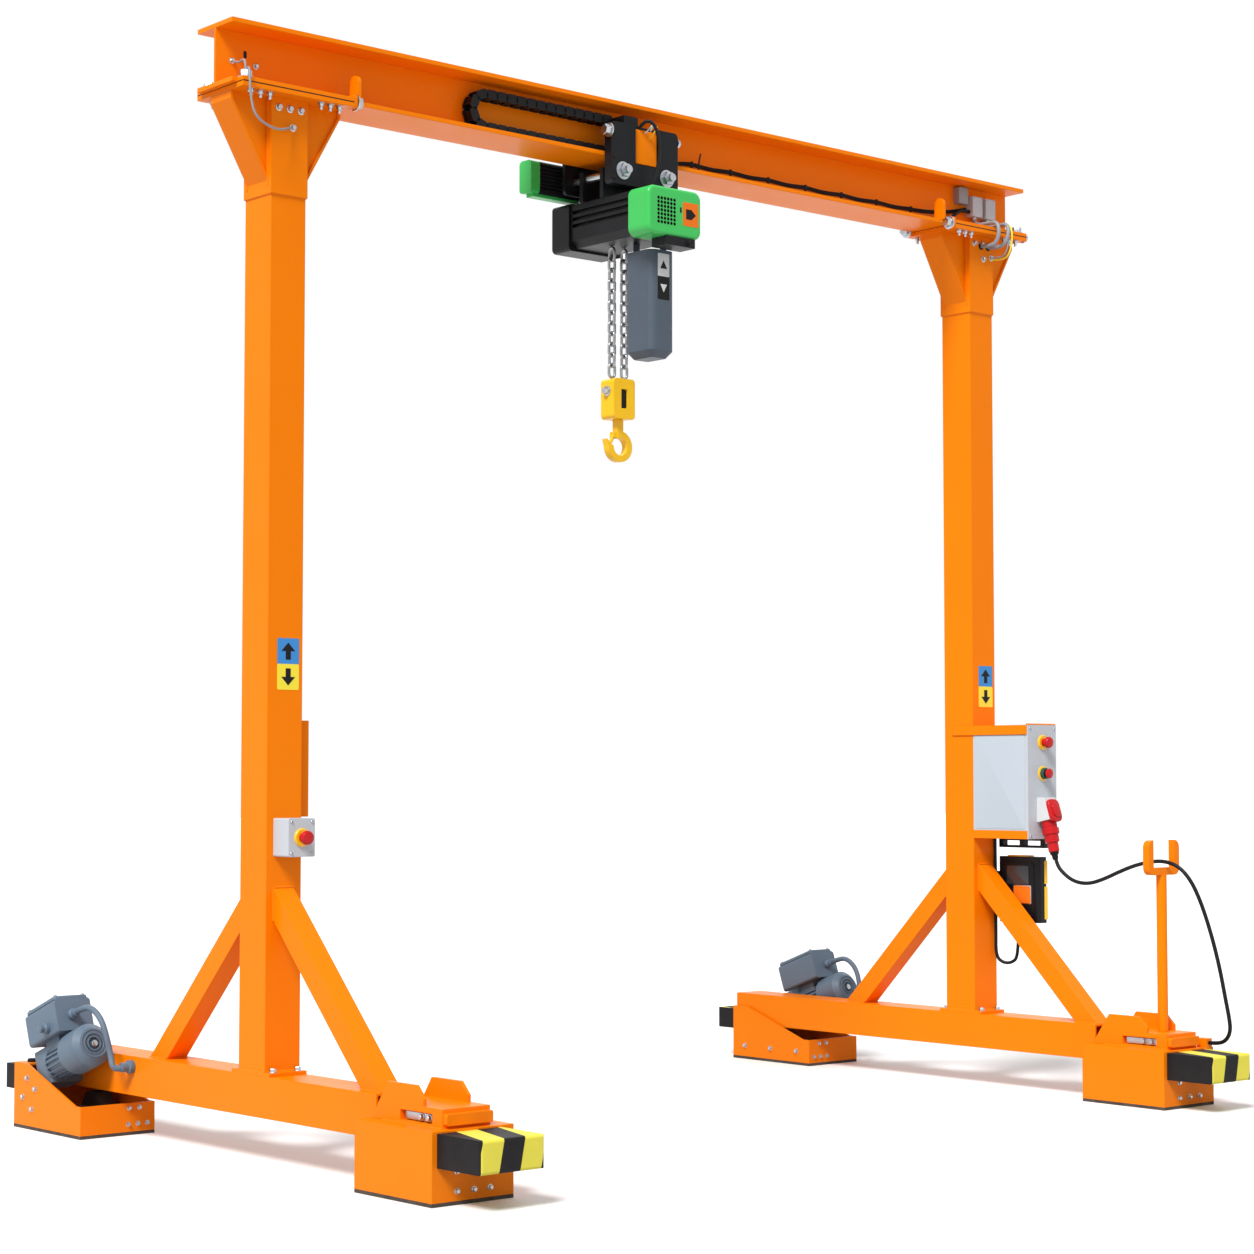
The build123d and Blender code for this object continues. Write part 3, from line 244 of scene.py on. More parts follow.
@dataclass(frozen=True)
class Finish:
    """A paint, plastic, rubber or metal finish with drifting tone, skin grain and dust near the floor."""

    name: str
    color: Vec
    roughness: float = 0.5
    metallic: float = 0.0
    coat: float = 0.0
    specular: float = 0.5
    grain: float = 260.0
    depth: float = 0.0004
    spread: float = 0.16
    drift: float = 0.05
    drift_scale: float = 1.6
    dust: float = 0.0
    rolled: bool = False

    COAT_ROUGHNESS = 0.12
    BUMP_STRENGTH = 0.6

    def material(self) -> bpy.types.Material:
        """Build the material once and hand out the same one after that.

        Returns:
            The finished material.
        """
        if self.name in bpy.data.materials:
            return bpy.data.materials[self.name]
        material = bpy.data.materials.new(self.name)
        material.use_nodes = True
        tree = material.node_tree
        shader = tree.nodes["Principled BSDF"].inputs
        shader["Metallic"].default_value = self.metallic
        shader["Coat Weight"].default_value = self.coat
        shader["Coat Roughness"].default_value = self.COAT_ROUGHNESS
        shader["Specular IOR Level"].default_value = self.specular
        place = tree.nodes.new("ShaderNodeTexCoord").outputs["Object"]
        drift = self._group(tree, Effects.tone_drift(), Vector=place, Amount=self.drift,
                            Scale=self.drift_scale)
        self.paint(tree, place, drift.inputs["Color"])
        color = drift.outputs["Color"]
        if self.dust > 0:
            dust = self._group(tree, Effects.floor_dust(), Vector=place, Color=color, Amount=self.dust)
            color = dust.outputs["Color"]
        grain = self._group(tree, Effects.skin_grain(), Vector=place, Scale=self.grain,
                            Roughness=self.roughness, Spread=self.spread)
        bump = tree.nodes.new("ShaderNodeBump")
        bump.inputs["Distance"].default_value = self.depth
        bump.inputs["Strength"].default_value = self.BUMP_STRENGTH
        feed(tree, bump.inputs["Height"], grain.outputs["Height"])
        if self.rolled:
            feed(tree, bump.inputs["Normal"], self._group(tree, Effects.soft_edges()).outputs["Normal"])
        feed(tree, shader["Base Color"], color)
        feed(tree, shader["Roughness"], grain.outputs["Roughness"])
        feed(tree, shader["Normal"], bump.outputs["Normal"])
        return material

    def paint(self, tree: Tree, place: Socket, color: Socket) -> None:
        """Set the colour that the drift varies: one colour all over."""
        color.default_value = (*self.color, 1)

    @staticmethod
    def _group(tree: Tree, group: Tree, **values: float | Socket) -> bpy.types.Node:
        """Place a shared effect in a material.

        Args:
            tree: The material's nodes.
            group: The shared effect.
            values: Numbers or sources for its inputs.

        Returns:
            The placed node.
        """
        node = tree.nodes.new("ShaderNodeGroup")
        node.node_tree = group
        for socket, value in values.items():
            feed(tree, node.inputs[socket], value)
        return node


@dataclass(frozen=True)
class StripedRubber(Finish):
    """Black rubber with slanted yellow bands on the end and the top, and plain black flanks."""

    stripe: Vec = (0.74, 0.66, 0.075)
    pitch: float = 0.1618
    rise: float = 0.20
    run: float = 0.29
    shift: float = 0.036
    flank_limit: float = 0.6

    def paint(self, tree: Tree, place: Socket, color: Socket) -> None:
        """Paint bands of X less rise times Z and run times Y, on faces that look along Y or up.

        Args:
            tree: The material's nodes.
            place: Object coordinates.
            color: The socket that takes the colour.
        """
        axes, facing = [tree.nodes.new("ShaderNodeSeparateXYZ") for _ in range(2)]
        feed(tree, axes.inputs[0], place)
        feed(tree, facing.inputs[0], tree.nodes.new("ShaderNodeNewGeometry").outputs["True Normal"])
        flank = math_node(tree, "ABSOLUTE", facing.outputs["X"])
        shown = math_node(tree, "LESS_THAN", flank, self.flank_limit)
        lean = math_node(tree, "MULTIPLY_ADD", axes.outputs["Z"], -self.rise, self.shift)
        lean = math_node(tree, "MULTIPLY_ADD", axes.outputs["Y"], -self.run, lean)
        along = math_node(tree, "ADD", axes.outputs["X"], lean)
        wave = math_node(tree, "PINGPONG", along, self.pitch / 2)
        band = math_node(tree, "LESS_THAN", wave, self.pitch / 4)
        mask = math_node(tree, "MULTIPLY", band, shown)
        feed(tree, color, mix_node(tree, mask, (*self.color, 1), (*self.stripe, 1)))


ORANGE = Finish("orange_enamel", (0.90, 0.208, 0.0), 0.38, coat=0.04, specular=0.07, grain=420,
                depth=0.00035, drift=0.045, dust=0.03, rolled=True)
WELD = Finish("painted_weld", (0.87, 0.196, 0.0), 0.40, coat=0.04, specular=0.15, grain=190, depth=0.0022,
              drift=0.08)
RUBBER = Finish("floor_rubber", (0.016, 0.016, 0.017), 0.82, specular=0.2, grain=500, depth=0.0006,
                dust=0.25)
STRIPES = StripedRubber("striped_bumper", (0.007, 0.007, 0.009), 0.62, specular=0.15, grain=600,
                        depth=0.0005, drift=0.10, drift_scale=9, dust=0.05, rolled=True)
SLATE = Finish("slate_casting", (0.110, 0.155, 0.210), 0.46, specular=0.3, grain=330, depth=0.0011,
               drift=0.07, dust=0.10, rolled=True)
CABINET = Finish("cabinet_sheet", (0.50, 0.535, 0.58), 0.42, specular=0.3, grain=520, depth=0.0003,
                 rolled=True)
WIRE_GREY = Finish("wire_grey", (0.26, 0.28, 0.30), 0.45, grain=700, depth=0.0002)
PALE = Finish("pale_sheet", (0.47, 0.53, 0.59), 0.45, specular=0.25, grain=520, depth=0.0003, drift=0.03)
SMOKE = Finish("smoked_screen", (0.030, 0.034, 0.040), 0.22, grain=520, depth=0.0001, drift=0.03)
PINE = Finish("dark_green", (0.004, 0.060, 0.045), 0.35, grain=520, depth=0.0002, drift=0.03)
RED = Finish("signal_red", (0.50, 0.005, 0.008), 0.30, coat=0.06, specular=0.25, grain=500, depth=0.0001,
             drift=0.03)
YELLOW = Finish("signal_yellow", (0.90, 0.52, 0.004), 0.30, coat=0.2, grain=500, depth=0.0002)
LEMON = Finish("sign_yellow", (0.88, 0.72, 0.03), 0.35, grain=600, depth=0.0001, drift=0.03)
BLUE = Finish("sign_blue", (0.025, 0.23, 0.60), 0.35, grain=600, depth=0.0001, drift=0.03)
WHITE = Finish("inlet_plastic", (0.64, 0.65, 0.66), 0.32, specular=0.3, grain=500, depth=0.0002, rolled=True)
BLACK = Finish("satin_black", (0.0055, 0.006, 0.0075), 0.42, specular=0.18, grain=460, depth=0.0007,
               drift=0.12, drift_scale=5, rolled=True)
CABLE = Finish("cable_jacket", (0.005, 0.005, 0.006), 0.48, specular=0.2, grain=800, depth=0.0002)
INK = Finish("sign_black", (0.006, 0.006, 0.007), 0.5, specular=0.15, grain=600, depth=0.0001)
STICKER = Finish("sign_orange", (0.80, 0.17, 0.008), 0.4, specular=0.2, grain=600, depth=0.0001, drift=0.03)
GREEN = Finish("cover_plastic", (0.045, 0.51, 0.10), 0.34, coat=0.06, specular=0.3, grain=420, depth=0.0003,
               drift=0.05, drift_scale=6, rolled=True)
BAG = Finish("bag_plastic", (0.062, 0.086, 0.116), 0.46, specular=0.35, grain=300, depth=0.0010, drift=0.08,
             drift_scale=6, rolled=True)
ZINC = Finish("zinc_plate", (0.46, 0.48, 0.51), 0.30, metallic=1.0, grain=500, depth=0.0002, drift=0.12,
              drift_scale=20)
CHAIN = Finish("chain_zinc", (0.34, 0.35, 0.36), 0.36, metallic=1.0, grain=400, depth=0.0003, drift=0.18,
               drift_scale=24)
HOOK = Finish("hook_enamel", (0.88, 0.50, 0.003), 0.36, coat=0.06, specular=0.3, grain=300, depth=0.0007,
              drift=0.06, drift_scale=9, rolled=True)

SLOT_FINISH = {
    "orange_paint": ORANGE, "wheel_rubber": RUBBER, "bumper_rubber": STRIPES, "motor_grey": SLATE,
    "cabinet_grey": CABINET, "button_red": RED, "inlet_white": WHITE, "plug_red": RED, "cable_black": CABLE,
    "hoist_black": BLACK, "cover_green": GREEN, "bag_grey": BAG, "bright_steel": ZINC, "hook_yellow": HOOK,
}


@dataclass
class Patch:
    """Points and faces of one surface in one finish. Faces are kept as index arrays by corner count."""

    points: Array
    faces: list[Array]
    finish: Finish

    def spread(self, frames: Array) -> "Patch":
        """Copy the patch to many places at once.

        Args:
            frames: Placing matrices, one 4 x 4 for each copy.

        Returns:
            One patch that holds all the copies.
        """
        turned = np.einsum("mij,nj->mni", frames[:, :3, :3], self.points) + frames[:, None, :3, 3]
        steps = np.arange(len(frames))[:, None, None] * len(self.points)
        faces = [(part[None] + steps).reshape(-1, part.shape[1]) for part in self.faces]
        return Patch(turned.reshape(-1, 3), faces, self.finish)

    def at(self, origins: Places, out: Axis | Vec, spin: float = 0.0) -> "Patch":
        """Copy the patch to places on a face, its local Z looking outwards."""
        return self.spread(frames_at(origins, out, spin))


def frames_at(origins: Places, out: Axis | Vec, spin: float = 0.0) -> Array:
    """Placing matrices whose local Z looks outwards.

    Args:
        origins: Places of the copies.
        out: Outward direction.
        spin: Turn about that direction, in degrees.

    Returns:
        One 4 x 4 matrix for each place. Local Y is as near to upwards as it can be.
    """
    z = np.asarray(out.value if isinstance(out, Axis) else out, float)
    z = z / np.linalg.norm(z)
    up = np.array((0.0, 1.0, 0.0)) if abs(z[2]) > 0.9 else np.array((0.0, 0.0, 1.0))
    x = np.cross(up, z)
    x /= np.linalg.norm(x)
    y = np.cross(z, x)
    turn = math.radians(spin)
    matrix = np.eye(4)
    matrix[:3, 0] = math.cos(turn) * x + math.sin(turn) * y
    matrix[:3, 1] = math.cos(turn) * y - math.sin(turn) * x
    matrix[:3, 2] = z
    places = np.asarray(origins, float).reshape(-1, 3)
    frames = np.repeat(matrix[None], len(places), axis=0)
    frames[:, :3, 3] = places
    return frames


def ring_faces(rows: int, cols: int, closed: bool = False) -> Array:
    """Quads between neighbouring rings of a grid whose columns close on themselves.

    Args:
        rows: Number of rings.
        cols: Points in each ring.
        closed: Whether the last ring meets the first.

    Returns:
        Corner indices of the quads, outwards for rings that turn anticlockwise about their row direction.
    """
    row = np.arange(rows if closed else rows - 1)[:, None]
    col = np.arange(cols)[None, :]
    after, right = (row + 1) % rows, (col + 1) % cols
    return np.stack([row * cols + col, row * cols + right, after * cols + right, after * cols + col],
                    axis=-1).reshape(-1, 4)


def capped(rings: Array, finish: Finish) -> Patch:
    """Close a stack of rings with a flat face at each end.

    Args:
        rings: Points as rows x columns x 3.
        finish: Finish of the surface.

    Returns:
        The closed patch.
    """
    rows, cols = rings.shape[:2]
    base = np.arange(cols)[None, ::-1]
    top = np.arange(cols)[None] + (rows - 1) * cols
    return Patch(rings.reshape(-1, 3), [ring_faces(rows, cols), base, top], finish)


def lathe(profile: list[tuple[float, float]], finish: Finish, sides: int = 24) -> Patch:
    """Turn a profile of radius and height about local Z: x = r cos a, y = r sin a, z = height.

    Args:
        profile: Radius and height from the base to the top.
        finish: Finish of the surface.
        sides: Number of steps round the axis.

    Returns:
        The closed patch.
    """
    radius, height = np.array(profile, float).T
    angle = np.arange(sides) * 2 * np.pi / sides
    rings = np.stack([radius[:, None] * np.cos(angle), radius[:, None] * np.sin(angle),
                      np.broadcast_to(height[:, None], (len(radius), sides))], axis=-1)
    return capped(rings, finish)


def rounded_outline(half_x: float, half_y: float, corner: float, steps: int = 5) -> Array:
    """Outline of a rectangle whose corners are quarter circles, anticlockwise.

    Args:
        half_x: Half of the width.
        half_y: Half of the height.
        corner: Corner radius.
        steps: Points in each corner.

    Returns:
        Points as an n x 2 array.
    """
    quarter = np.linspace(0, np.pi / 2, steps)
    angle = (np.arange(4)[:, None] * np.pi / 2 + quarter[None]).ravel()
    sign_x = np.repeat([1, -1, -1, 1], steps)
    sign_y = np.repeat([1, 1, -1, -1], steps)
    return np.stack([sign_x * (half_x - corner) + corner * np.cos(angle),
                     sign_y * (half_y - corner) + corner * np.sin(angle)], axis=-1)


def rounded_block(width: float, height: float, depth: float, corner: float, edge: float,
                  finish: Finish) -> Patch:
    """Block whose outline has round corners and whose far rim rolls over a quarter circle.

    The outline is carried up local Z. Over the last stretch it shrinks by edge times 1 - cos while it
    rises by edge times sin.

    Args:
        width: Size along local X.
        height: Size along local Y.
        depth: Size along local Z.
        corner: Corner radius of the outline, larger than edge.
        edge: Radius of the rolled rim.
        finish: Finish of the surface.

    Returns:
        The closed patch, its base on local Z = 0.
    """
    roll = np.linspace(0, np.pi / 2, 5)
    inset = np.concatenate([[0.0], edge * (1 - np.cos(roll))])
    level = np.concatenate([[0.0], depth - edge + edge * np.sin(roll)])
    outline = rounded_outline(width / 2, height / 2, corner)
    shrink = 1 - inset[:, None, None] / np.array([width / 2, height / 2])
    rings = np.concatenate([outline[None] * shrink,
                            np.broadcast_to(level[:, None, None], (len(level), len(outline), 1))], axis=-1)
    return capped(rings, finish)


def prism(outline: list[Pair] | Array, depth: float, finish: Finish) -> Patch:
    """Carry a flat outline up local Z.

    Args:
        outline: Points anticlockwise in local X and Y.
        depth: Height of the prism.
        finish: Finish of the surface.

    Returns:
        The closed patch.
    """
    flat = np.asarray(outline, float)
    rings = np.stack([np.column_stack([flat, np.full(len(flat), level)]) for level in (0.0, depth)])
    return capped(rings, finish)


def tube(path: Array, radius: float | Array, finish: Finish, sides: int = 10, closed: bool = False) -> Patch:
    """Carry a circle along a path. Its frame leans on the direction in which the path spreads least.

    Args:
        path: Points of the centre line.
        radius: Radius, or one radius for each point.
        finish: Finish of the surface.
        sides: Steps round the circle.
        closed: Whether the path is a loop.

    Returns:
        The patch, closed at its ends or along its loop.
    """
    path = np.asarray(path, float)
    ahead = np.roll(path, -1, 0) - np.roll(path, 1, 0) if closed else np.gradient(path, axis=0)
    ahead /= np.linalg.norm(ahead, axis=1, keepdims=True)
    flat = np.linalg.svd(path - path.mean(0), full_matrices=True)[2][-1]
    across = np.cross(ahead, flat)
    across /= np.linalg.norm(across, axis=1, keepdims=True)
    upward = np.cross(ahead, across)
    angle = np.arange(sides) * 2 * np.pi / sides
    reach = np.broadcast_to(np.asarray(radius, float), (len(path),))[:, None, None]
    rings = path[:, None] + reach * (np.cos(angle)[None, :, None] * across[:, None]
                                     + np.sin(angle)[None, :, None] * upward[:, None])
    if closed:
        return Patch(rings.reshape(-1, 3), [ring_faces(len(path), sides, closed=True)], finish)
    return capped(rings, finish)


def weld_bead(start: Vec, end: Vec, radius: float = 0.005) -> Patch:
    """Weld between two points: a tube of its mean radius times 1 plus a small sine of the way along.

    Args:
        start: First point.
        end: Last point.
        radius: Mean radius.

    Returns:
        The bead.
    """
    step, wave, swell = 0.006, 0.011, 0.13
    first, last = np.array(start), np.array(end)
    length = float(np.linalg.norm(last - first))
    along = np.linspace(0, 1, max(6, int(length / step)))
    ripple = 1 + swell * np.sin(along * length / wave * 2 * np.pi)
    return tube(first + along[:, None] * (last - first), radius * ripple, WELD, 6)


def row(start: Vec, end: Vec, count: int) -> Array:
    """Evenly spaced points from start to end."""
    return np.linspace(start, end, count)


def hex_bolts(origins: Places, out: Axis | Vec, across: float = 0.019, spin: float = 14.0) -> list[Patch]:
    """Hexagon heads on washers, all alike, with every size a share of the head's width.

    Args:
        origins: Places on the face.
        out: Outward direction of the face.
        across: Width of the head over its corners.
        spin: Turn of the head, in degrees.

    Returns:
        Head and washer patches.
    """
    r, base = across / 2, 0.12 * across
    head = lathe([(r, base), (r, base + 0.42 * across), (0.86 * r, base + 0.5 * across)], ZINC, 6)
    disc = lathe([(1.32 * r, 0.0), (1.32 * r, 0.75 * base), (1.22 * r, base)], ZINC, 20)
    return [part.at(origins, out, spin) for part in (head, disc)]


def hanging_nuts(origins: Places, across: float, stud: float) -> list[Patch]:
    """Nuts under a plate with the bolt's end below them.

    Args:
        origins: Places on the underside.
        across: Width of the nut over its corners.
        stud: How far the bolt stands below the nut.

    Returns:
        Nut and stud patches.
    """
    end = lathe([(0.27 * across, 0.5 * across), (0.27 * across, 0.62 * across + stud),
                 (0.2 * across, 0.62 * across + stud + 0.003)], ZINC, 14)
    return [*hex_bolts(origins, Axis.DOWN, across, 22), end.at(origins, Axis.DOWN)]


def round_screws(origins: Places, out: Axis, width: float = 0.011, finish: Finish = ZINC) -> list[Patch]:
    """Low domed screw heads, each with a dark disc that paints the shade in its socket.

    Args:
        origins: Places on the face.
        out: Outward direction of the face.
        width: Diameter of the head.
        finish: Finish of the head.

    Returns:
        Head and socket patches.
    """
    r = width / 2
    dome = lathe([(r, 0), (r, 0.25 * r), (0.85 * r, 0.55 * r), (0.5 * r, 0.72 * r)], finish, 18)
    # The dark disc paints the shade inside the screw head's socket.
    socket = lathe([(0.42 * r, 0.70 * r), (0.38 * r, 0.78 * r)], INK, 6)
    return [dome.at(origins, out), socket.at(origins, out)]


def add_piece(name: str, patches: list[Patch], body: Body | None,
              sharp: float = 38.0) -> bpy.types.Object:
    """Put patches into one mesh object that rides on a body.

    Args:
        name: Name of the piece.
        patches: Its surfaces.
        body: The body that carries it, or None where no body carries it.
        sharp: Angle over which an edge stays sharp, in degrees.

    Returns:
        The object.
    """
    offsets = np.cumsum([0] + [len(patch.points) for patch in patches])
    points = np.concatenate([patch.points for patch in patches])
    finishes = list(dict.fromkeys(patch.finish for patch in patches))
    faces = [(part + offset, finishes.index(patch.finish))
             for patch, offset in zip(patches, offsets) for part in patch.faces]
    mesh = bpy.data.meshes.new(name)
    mesh.from_pydata(points.tolist(), [], [corner for part, _ in faces for corner in part.tolist()])
    for finish in finishes:
        mesh.materials.append(finish.material())
    index = np.concatenate([np.full(len(part), number, np.int32) for part, number in faces])
    mesh.polygons.foreach_set("material_index", index)
    mesh.polygons.foreach_set("use_smooth", np.ones(len(mesh.polygons), bool))
    mesh.update()
    mesh.set_sharp_from_angle(angle=math.radians(sharp))
    piece = bpy.data.objects.new(name, mesh)
    bpy.context.scene.collection.objects.link(piece)
    if body is not None:
        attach(piece, body.value)
    log.info("%s: %d faces", name, len(mesh.polygons))
    return piece


def spline_curve(name: str, points: list[Vec], diameter: float, finish: Finish, body: Body) -> bpy.types.Object:
    """Round cable on a smooth spline whose control points are the route's own.

    Args:
        name: Name of the piece.
        points: Control points, in metres.
        diameter: Diameter of the cable.
        finish: Finish of its jacket.
        body: The body that carries it.

    Returns:
        The curve object.
    """
    curve = bpy.data.curves.new(name, "CURVE")
    curve.dimensions = "3D"
    spline = curve.splines.new("NURBS")
    spline.points.add(len(points) - 1)
    spline.points.foreach_set("co", np.column_stack([np.array(points), np.ones(len(points))]).ravel())
    spline.order_u = 3
    spline.use_endpoint_u = True
    spline.resolution_u = 12
    curve.bevel_depth = diameter / 2
    curve.bevel_resolution = 5
    curve.use_fill_caps = True
    curve.materials.append(finish.material())
    piece = bpy.data.objects.new(name, curve)
    bpy.context.scene.collection.objects.link(piece)
    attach(piece, body.value)
    log.info("%s: cable of %d points", name, len(points))
    return piece


ARROW = [(-0.16, -0.46), (0.16, -0.46), (0.16, 0.0), (0.44, 0.0), (0.0, 0.46), (-0.44, 0.0), (-0.16, 0.0)]
TRIANGLE = [(-0.40, -0.34), (0.40, -0.34), (0.0, 0.40)]
HOUSE = [(-0.34, -0.42), (0.34, -0.42), (0.34, 0.06), (0.0, 0.46), (-0.34, 0.06)]


def sign(centre: Vec, out: Axis, width: float, height: float, ground: Finish, mark: Finish,
         outline: list[Pair], spin: float = 0.0) -> list[Patch]:
    """Flat sticker with a plain mark on it.

    Args:
        centre: Middle of the sticker on its face.
        out: Outward direction of the face.
        width: Width of the sticker.
        height: Height of the sticker.
        ground: Finish of the sticker.
        mark: Finish of the mark.
        outline: Mark in a unit square.
        spin: Turn of the mark, in degrees.

    Returns:
        Sticker and mark patches.
    """
    share, sheet_depth, mark_depth = 0.72, 0.0008, 0.0014
    sheet = prism(rounded_outline(width / 2, height / 2, 0.06 * width, 4), sheet_depth, ground)
    figure = prism(np.array(outline) * share * min(width, height), mark_depth, mark)
    return [sheet.at([centre], out), figure.at([centre], out, spin)]


@dataclass
class Studio:
    """Camera at the photograph's place, soft suns and a pale floor."""

    eye: Vec = (-6.797, -7.7475, 1.313)
    pitch: float = 93.182
    yaw: float = -40.889
    lens: float = 76.03
    sensor: float = 36.0
    floor_half: float = 60.0
    floor_seen: float = 0.955
    floor_given: float = 0.5375
    sky: float = 0.56
    key_source: Vec = (-0.60, -0.285, 0.748)
    key_power: float = 3.6
    key_width: float = 20.0
    rim_source: Vec = (0.55, 0.65, 0.52)
    rim_power: float = 0.4
    rim_width: float = 40.0

    def build(self) -> None:
        """Set up the camera, the lights, the sky and the floor."""
        scene = bpy.context.scene
        scene.view_settings.view_transform = "Standard"
        data = bpy.data.cameras.new("camera")
        data.lens, data.sensor_width = self.lens, self.sensor
        data.clip_end = 200
        camera = bpy.data.objects.new("camera", data)
        camera.location = self.eye
        camera.rotation_euler = (math.radians(self.pitch), 0, math.radians(self.yaw))
        scene.collection.objects.link(camera)
        scene.camera = camera
        self._sun("key", self.key_source, self.key_power, self.key_width)
        self._sun("rim", self.rim_source, self.rim_power, self.rim_width)
        self._sky(scene)
        self._floor()

    def _sun(self, name: str, source: Vec, power: float, softness: float) -> None:
        """Add a sun.

        Args:
            name: Name of the lamp.
            source: Direction from the crane to the sun.
            power: Strength.
            softness: Apparent width of the sun, in degrees.
        """
        data = bpy.data.lights.new(name, "SUN")
        data.energy, data.angle = power, math.radians(softness)
        lamp = bpy.data.objects.new(name, data)
        lean = math.atan2(math.hypot(source[0], source[1]), source[2])
        lamp.rotation_euler = (lean, 0, math.atan2(source[1], source[0]) + math.pi / 2)
        bpy.context.scene.collection.objects.link(lamp)

    def _sky(self, scene: bpy.types.Scene) -> None:
        """White for the camera and for reflections, and a softer grey for the light it gives."""
        world = bpy.data.worlds.new("studio")
        scene.world = world
        world.use_nodes = True
        ground = world.node_tree.nodes["Background"]
        ground.inputs["Color"].default_value = (1, 1, 1, 1)
        self._seen_or_given(world.node_tree, ground.inputs["Strength"], 1.0, self.sky)

    @staticmethod
    def _seen_or_given(tree: Tree, socket: Socket, seen: float, given: float) -> None:
        """Give a socket one level for rays that see the surface and another for the light it gives.

        Args:
            tree: Node tree of the world or the material.
            socket: The socket that takes the level.
            seen: Level for the camera, for reflections and for what shows through glass.
            given: Level for all other rays.
        """
        rays = tree.nodes.new("ShaderNodeLightPath").outputs
        seeing = math_node(tree, "MAXIMUM", rays["Is Camera Ray"], rays["Is Glossy Ray"])
        seeing = math_node(tree, "MAXIMUM", seeing, rays["Is Transmission Ray"])
        feed(tree, socket, range_node(tree, seeing, 1.0, given, seen))

    def _floor(self) -> None:
        """Pale level floor, the four corners of a square, that gives back less light than it shows."""
        paint = bpy.data.materials.new("pale_floor")
        paint.use_nodes = True
        shader = paint.node_tree.nodes["Principled BSDF"].inputs
        shader["Roughness"].default_value = 0.9
        shader["Specular IOR Level"].default_value = 0.1
        self._seen_or_given(paint.node_tree, shader["Base Color"], self.floor_seen, self.floor_given)
        half = self.floor_half
        corners = [(-half, -half, 0), (half, -half, 0), (half, half, 0), (-half, half, 0)]
        mesh = bpy.data.meshes.new("floor")
        mesh.from_pydata(corners, [], [(0, 1, 2, 3)])
        mesh.materials.append(paint)
        floor = bpy.data.objects.new("floor", mesh)
        bpy.context.scene.collection.objects.link(floor)


def node_box(name: str) -> tuple[Array, Array]:
    """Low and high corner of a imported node."""
    low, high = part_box(name)
    return np.array(low), np.array(high)


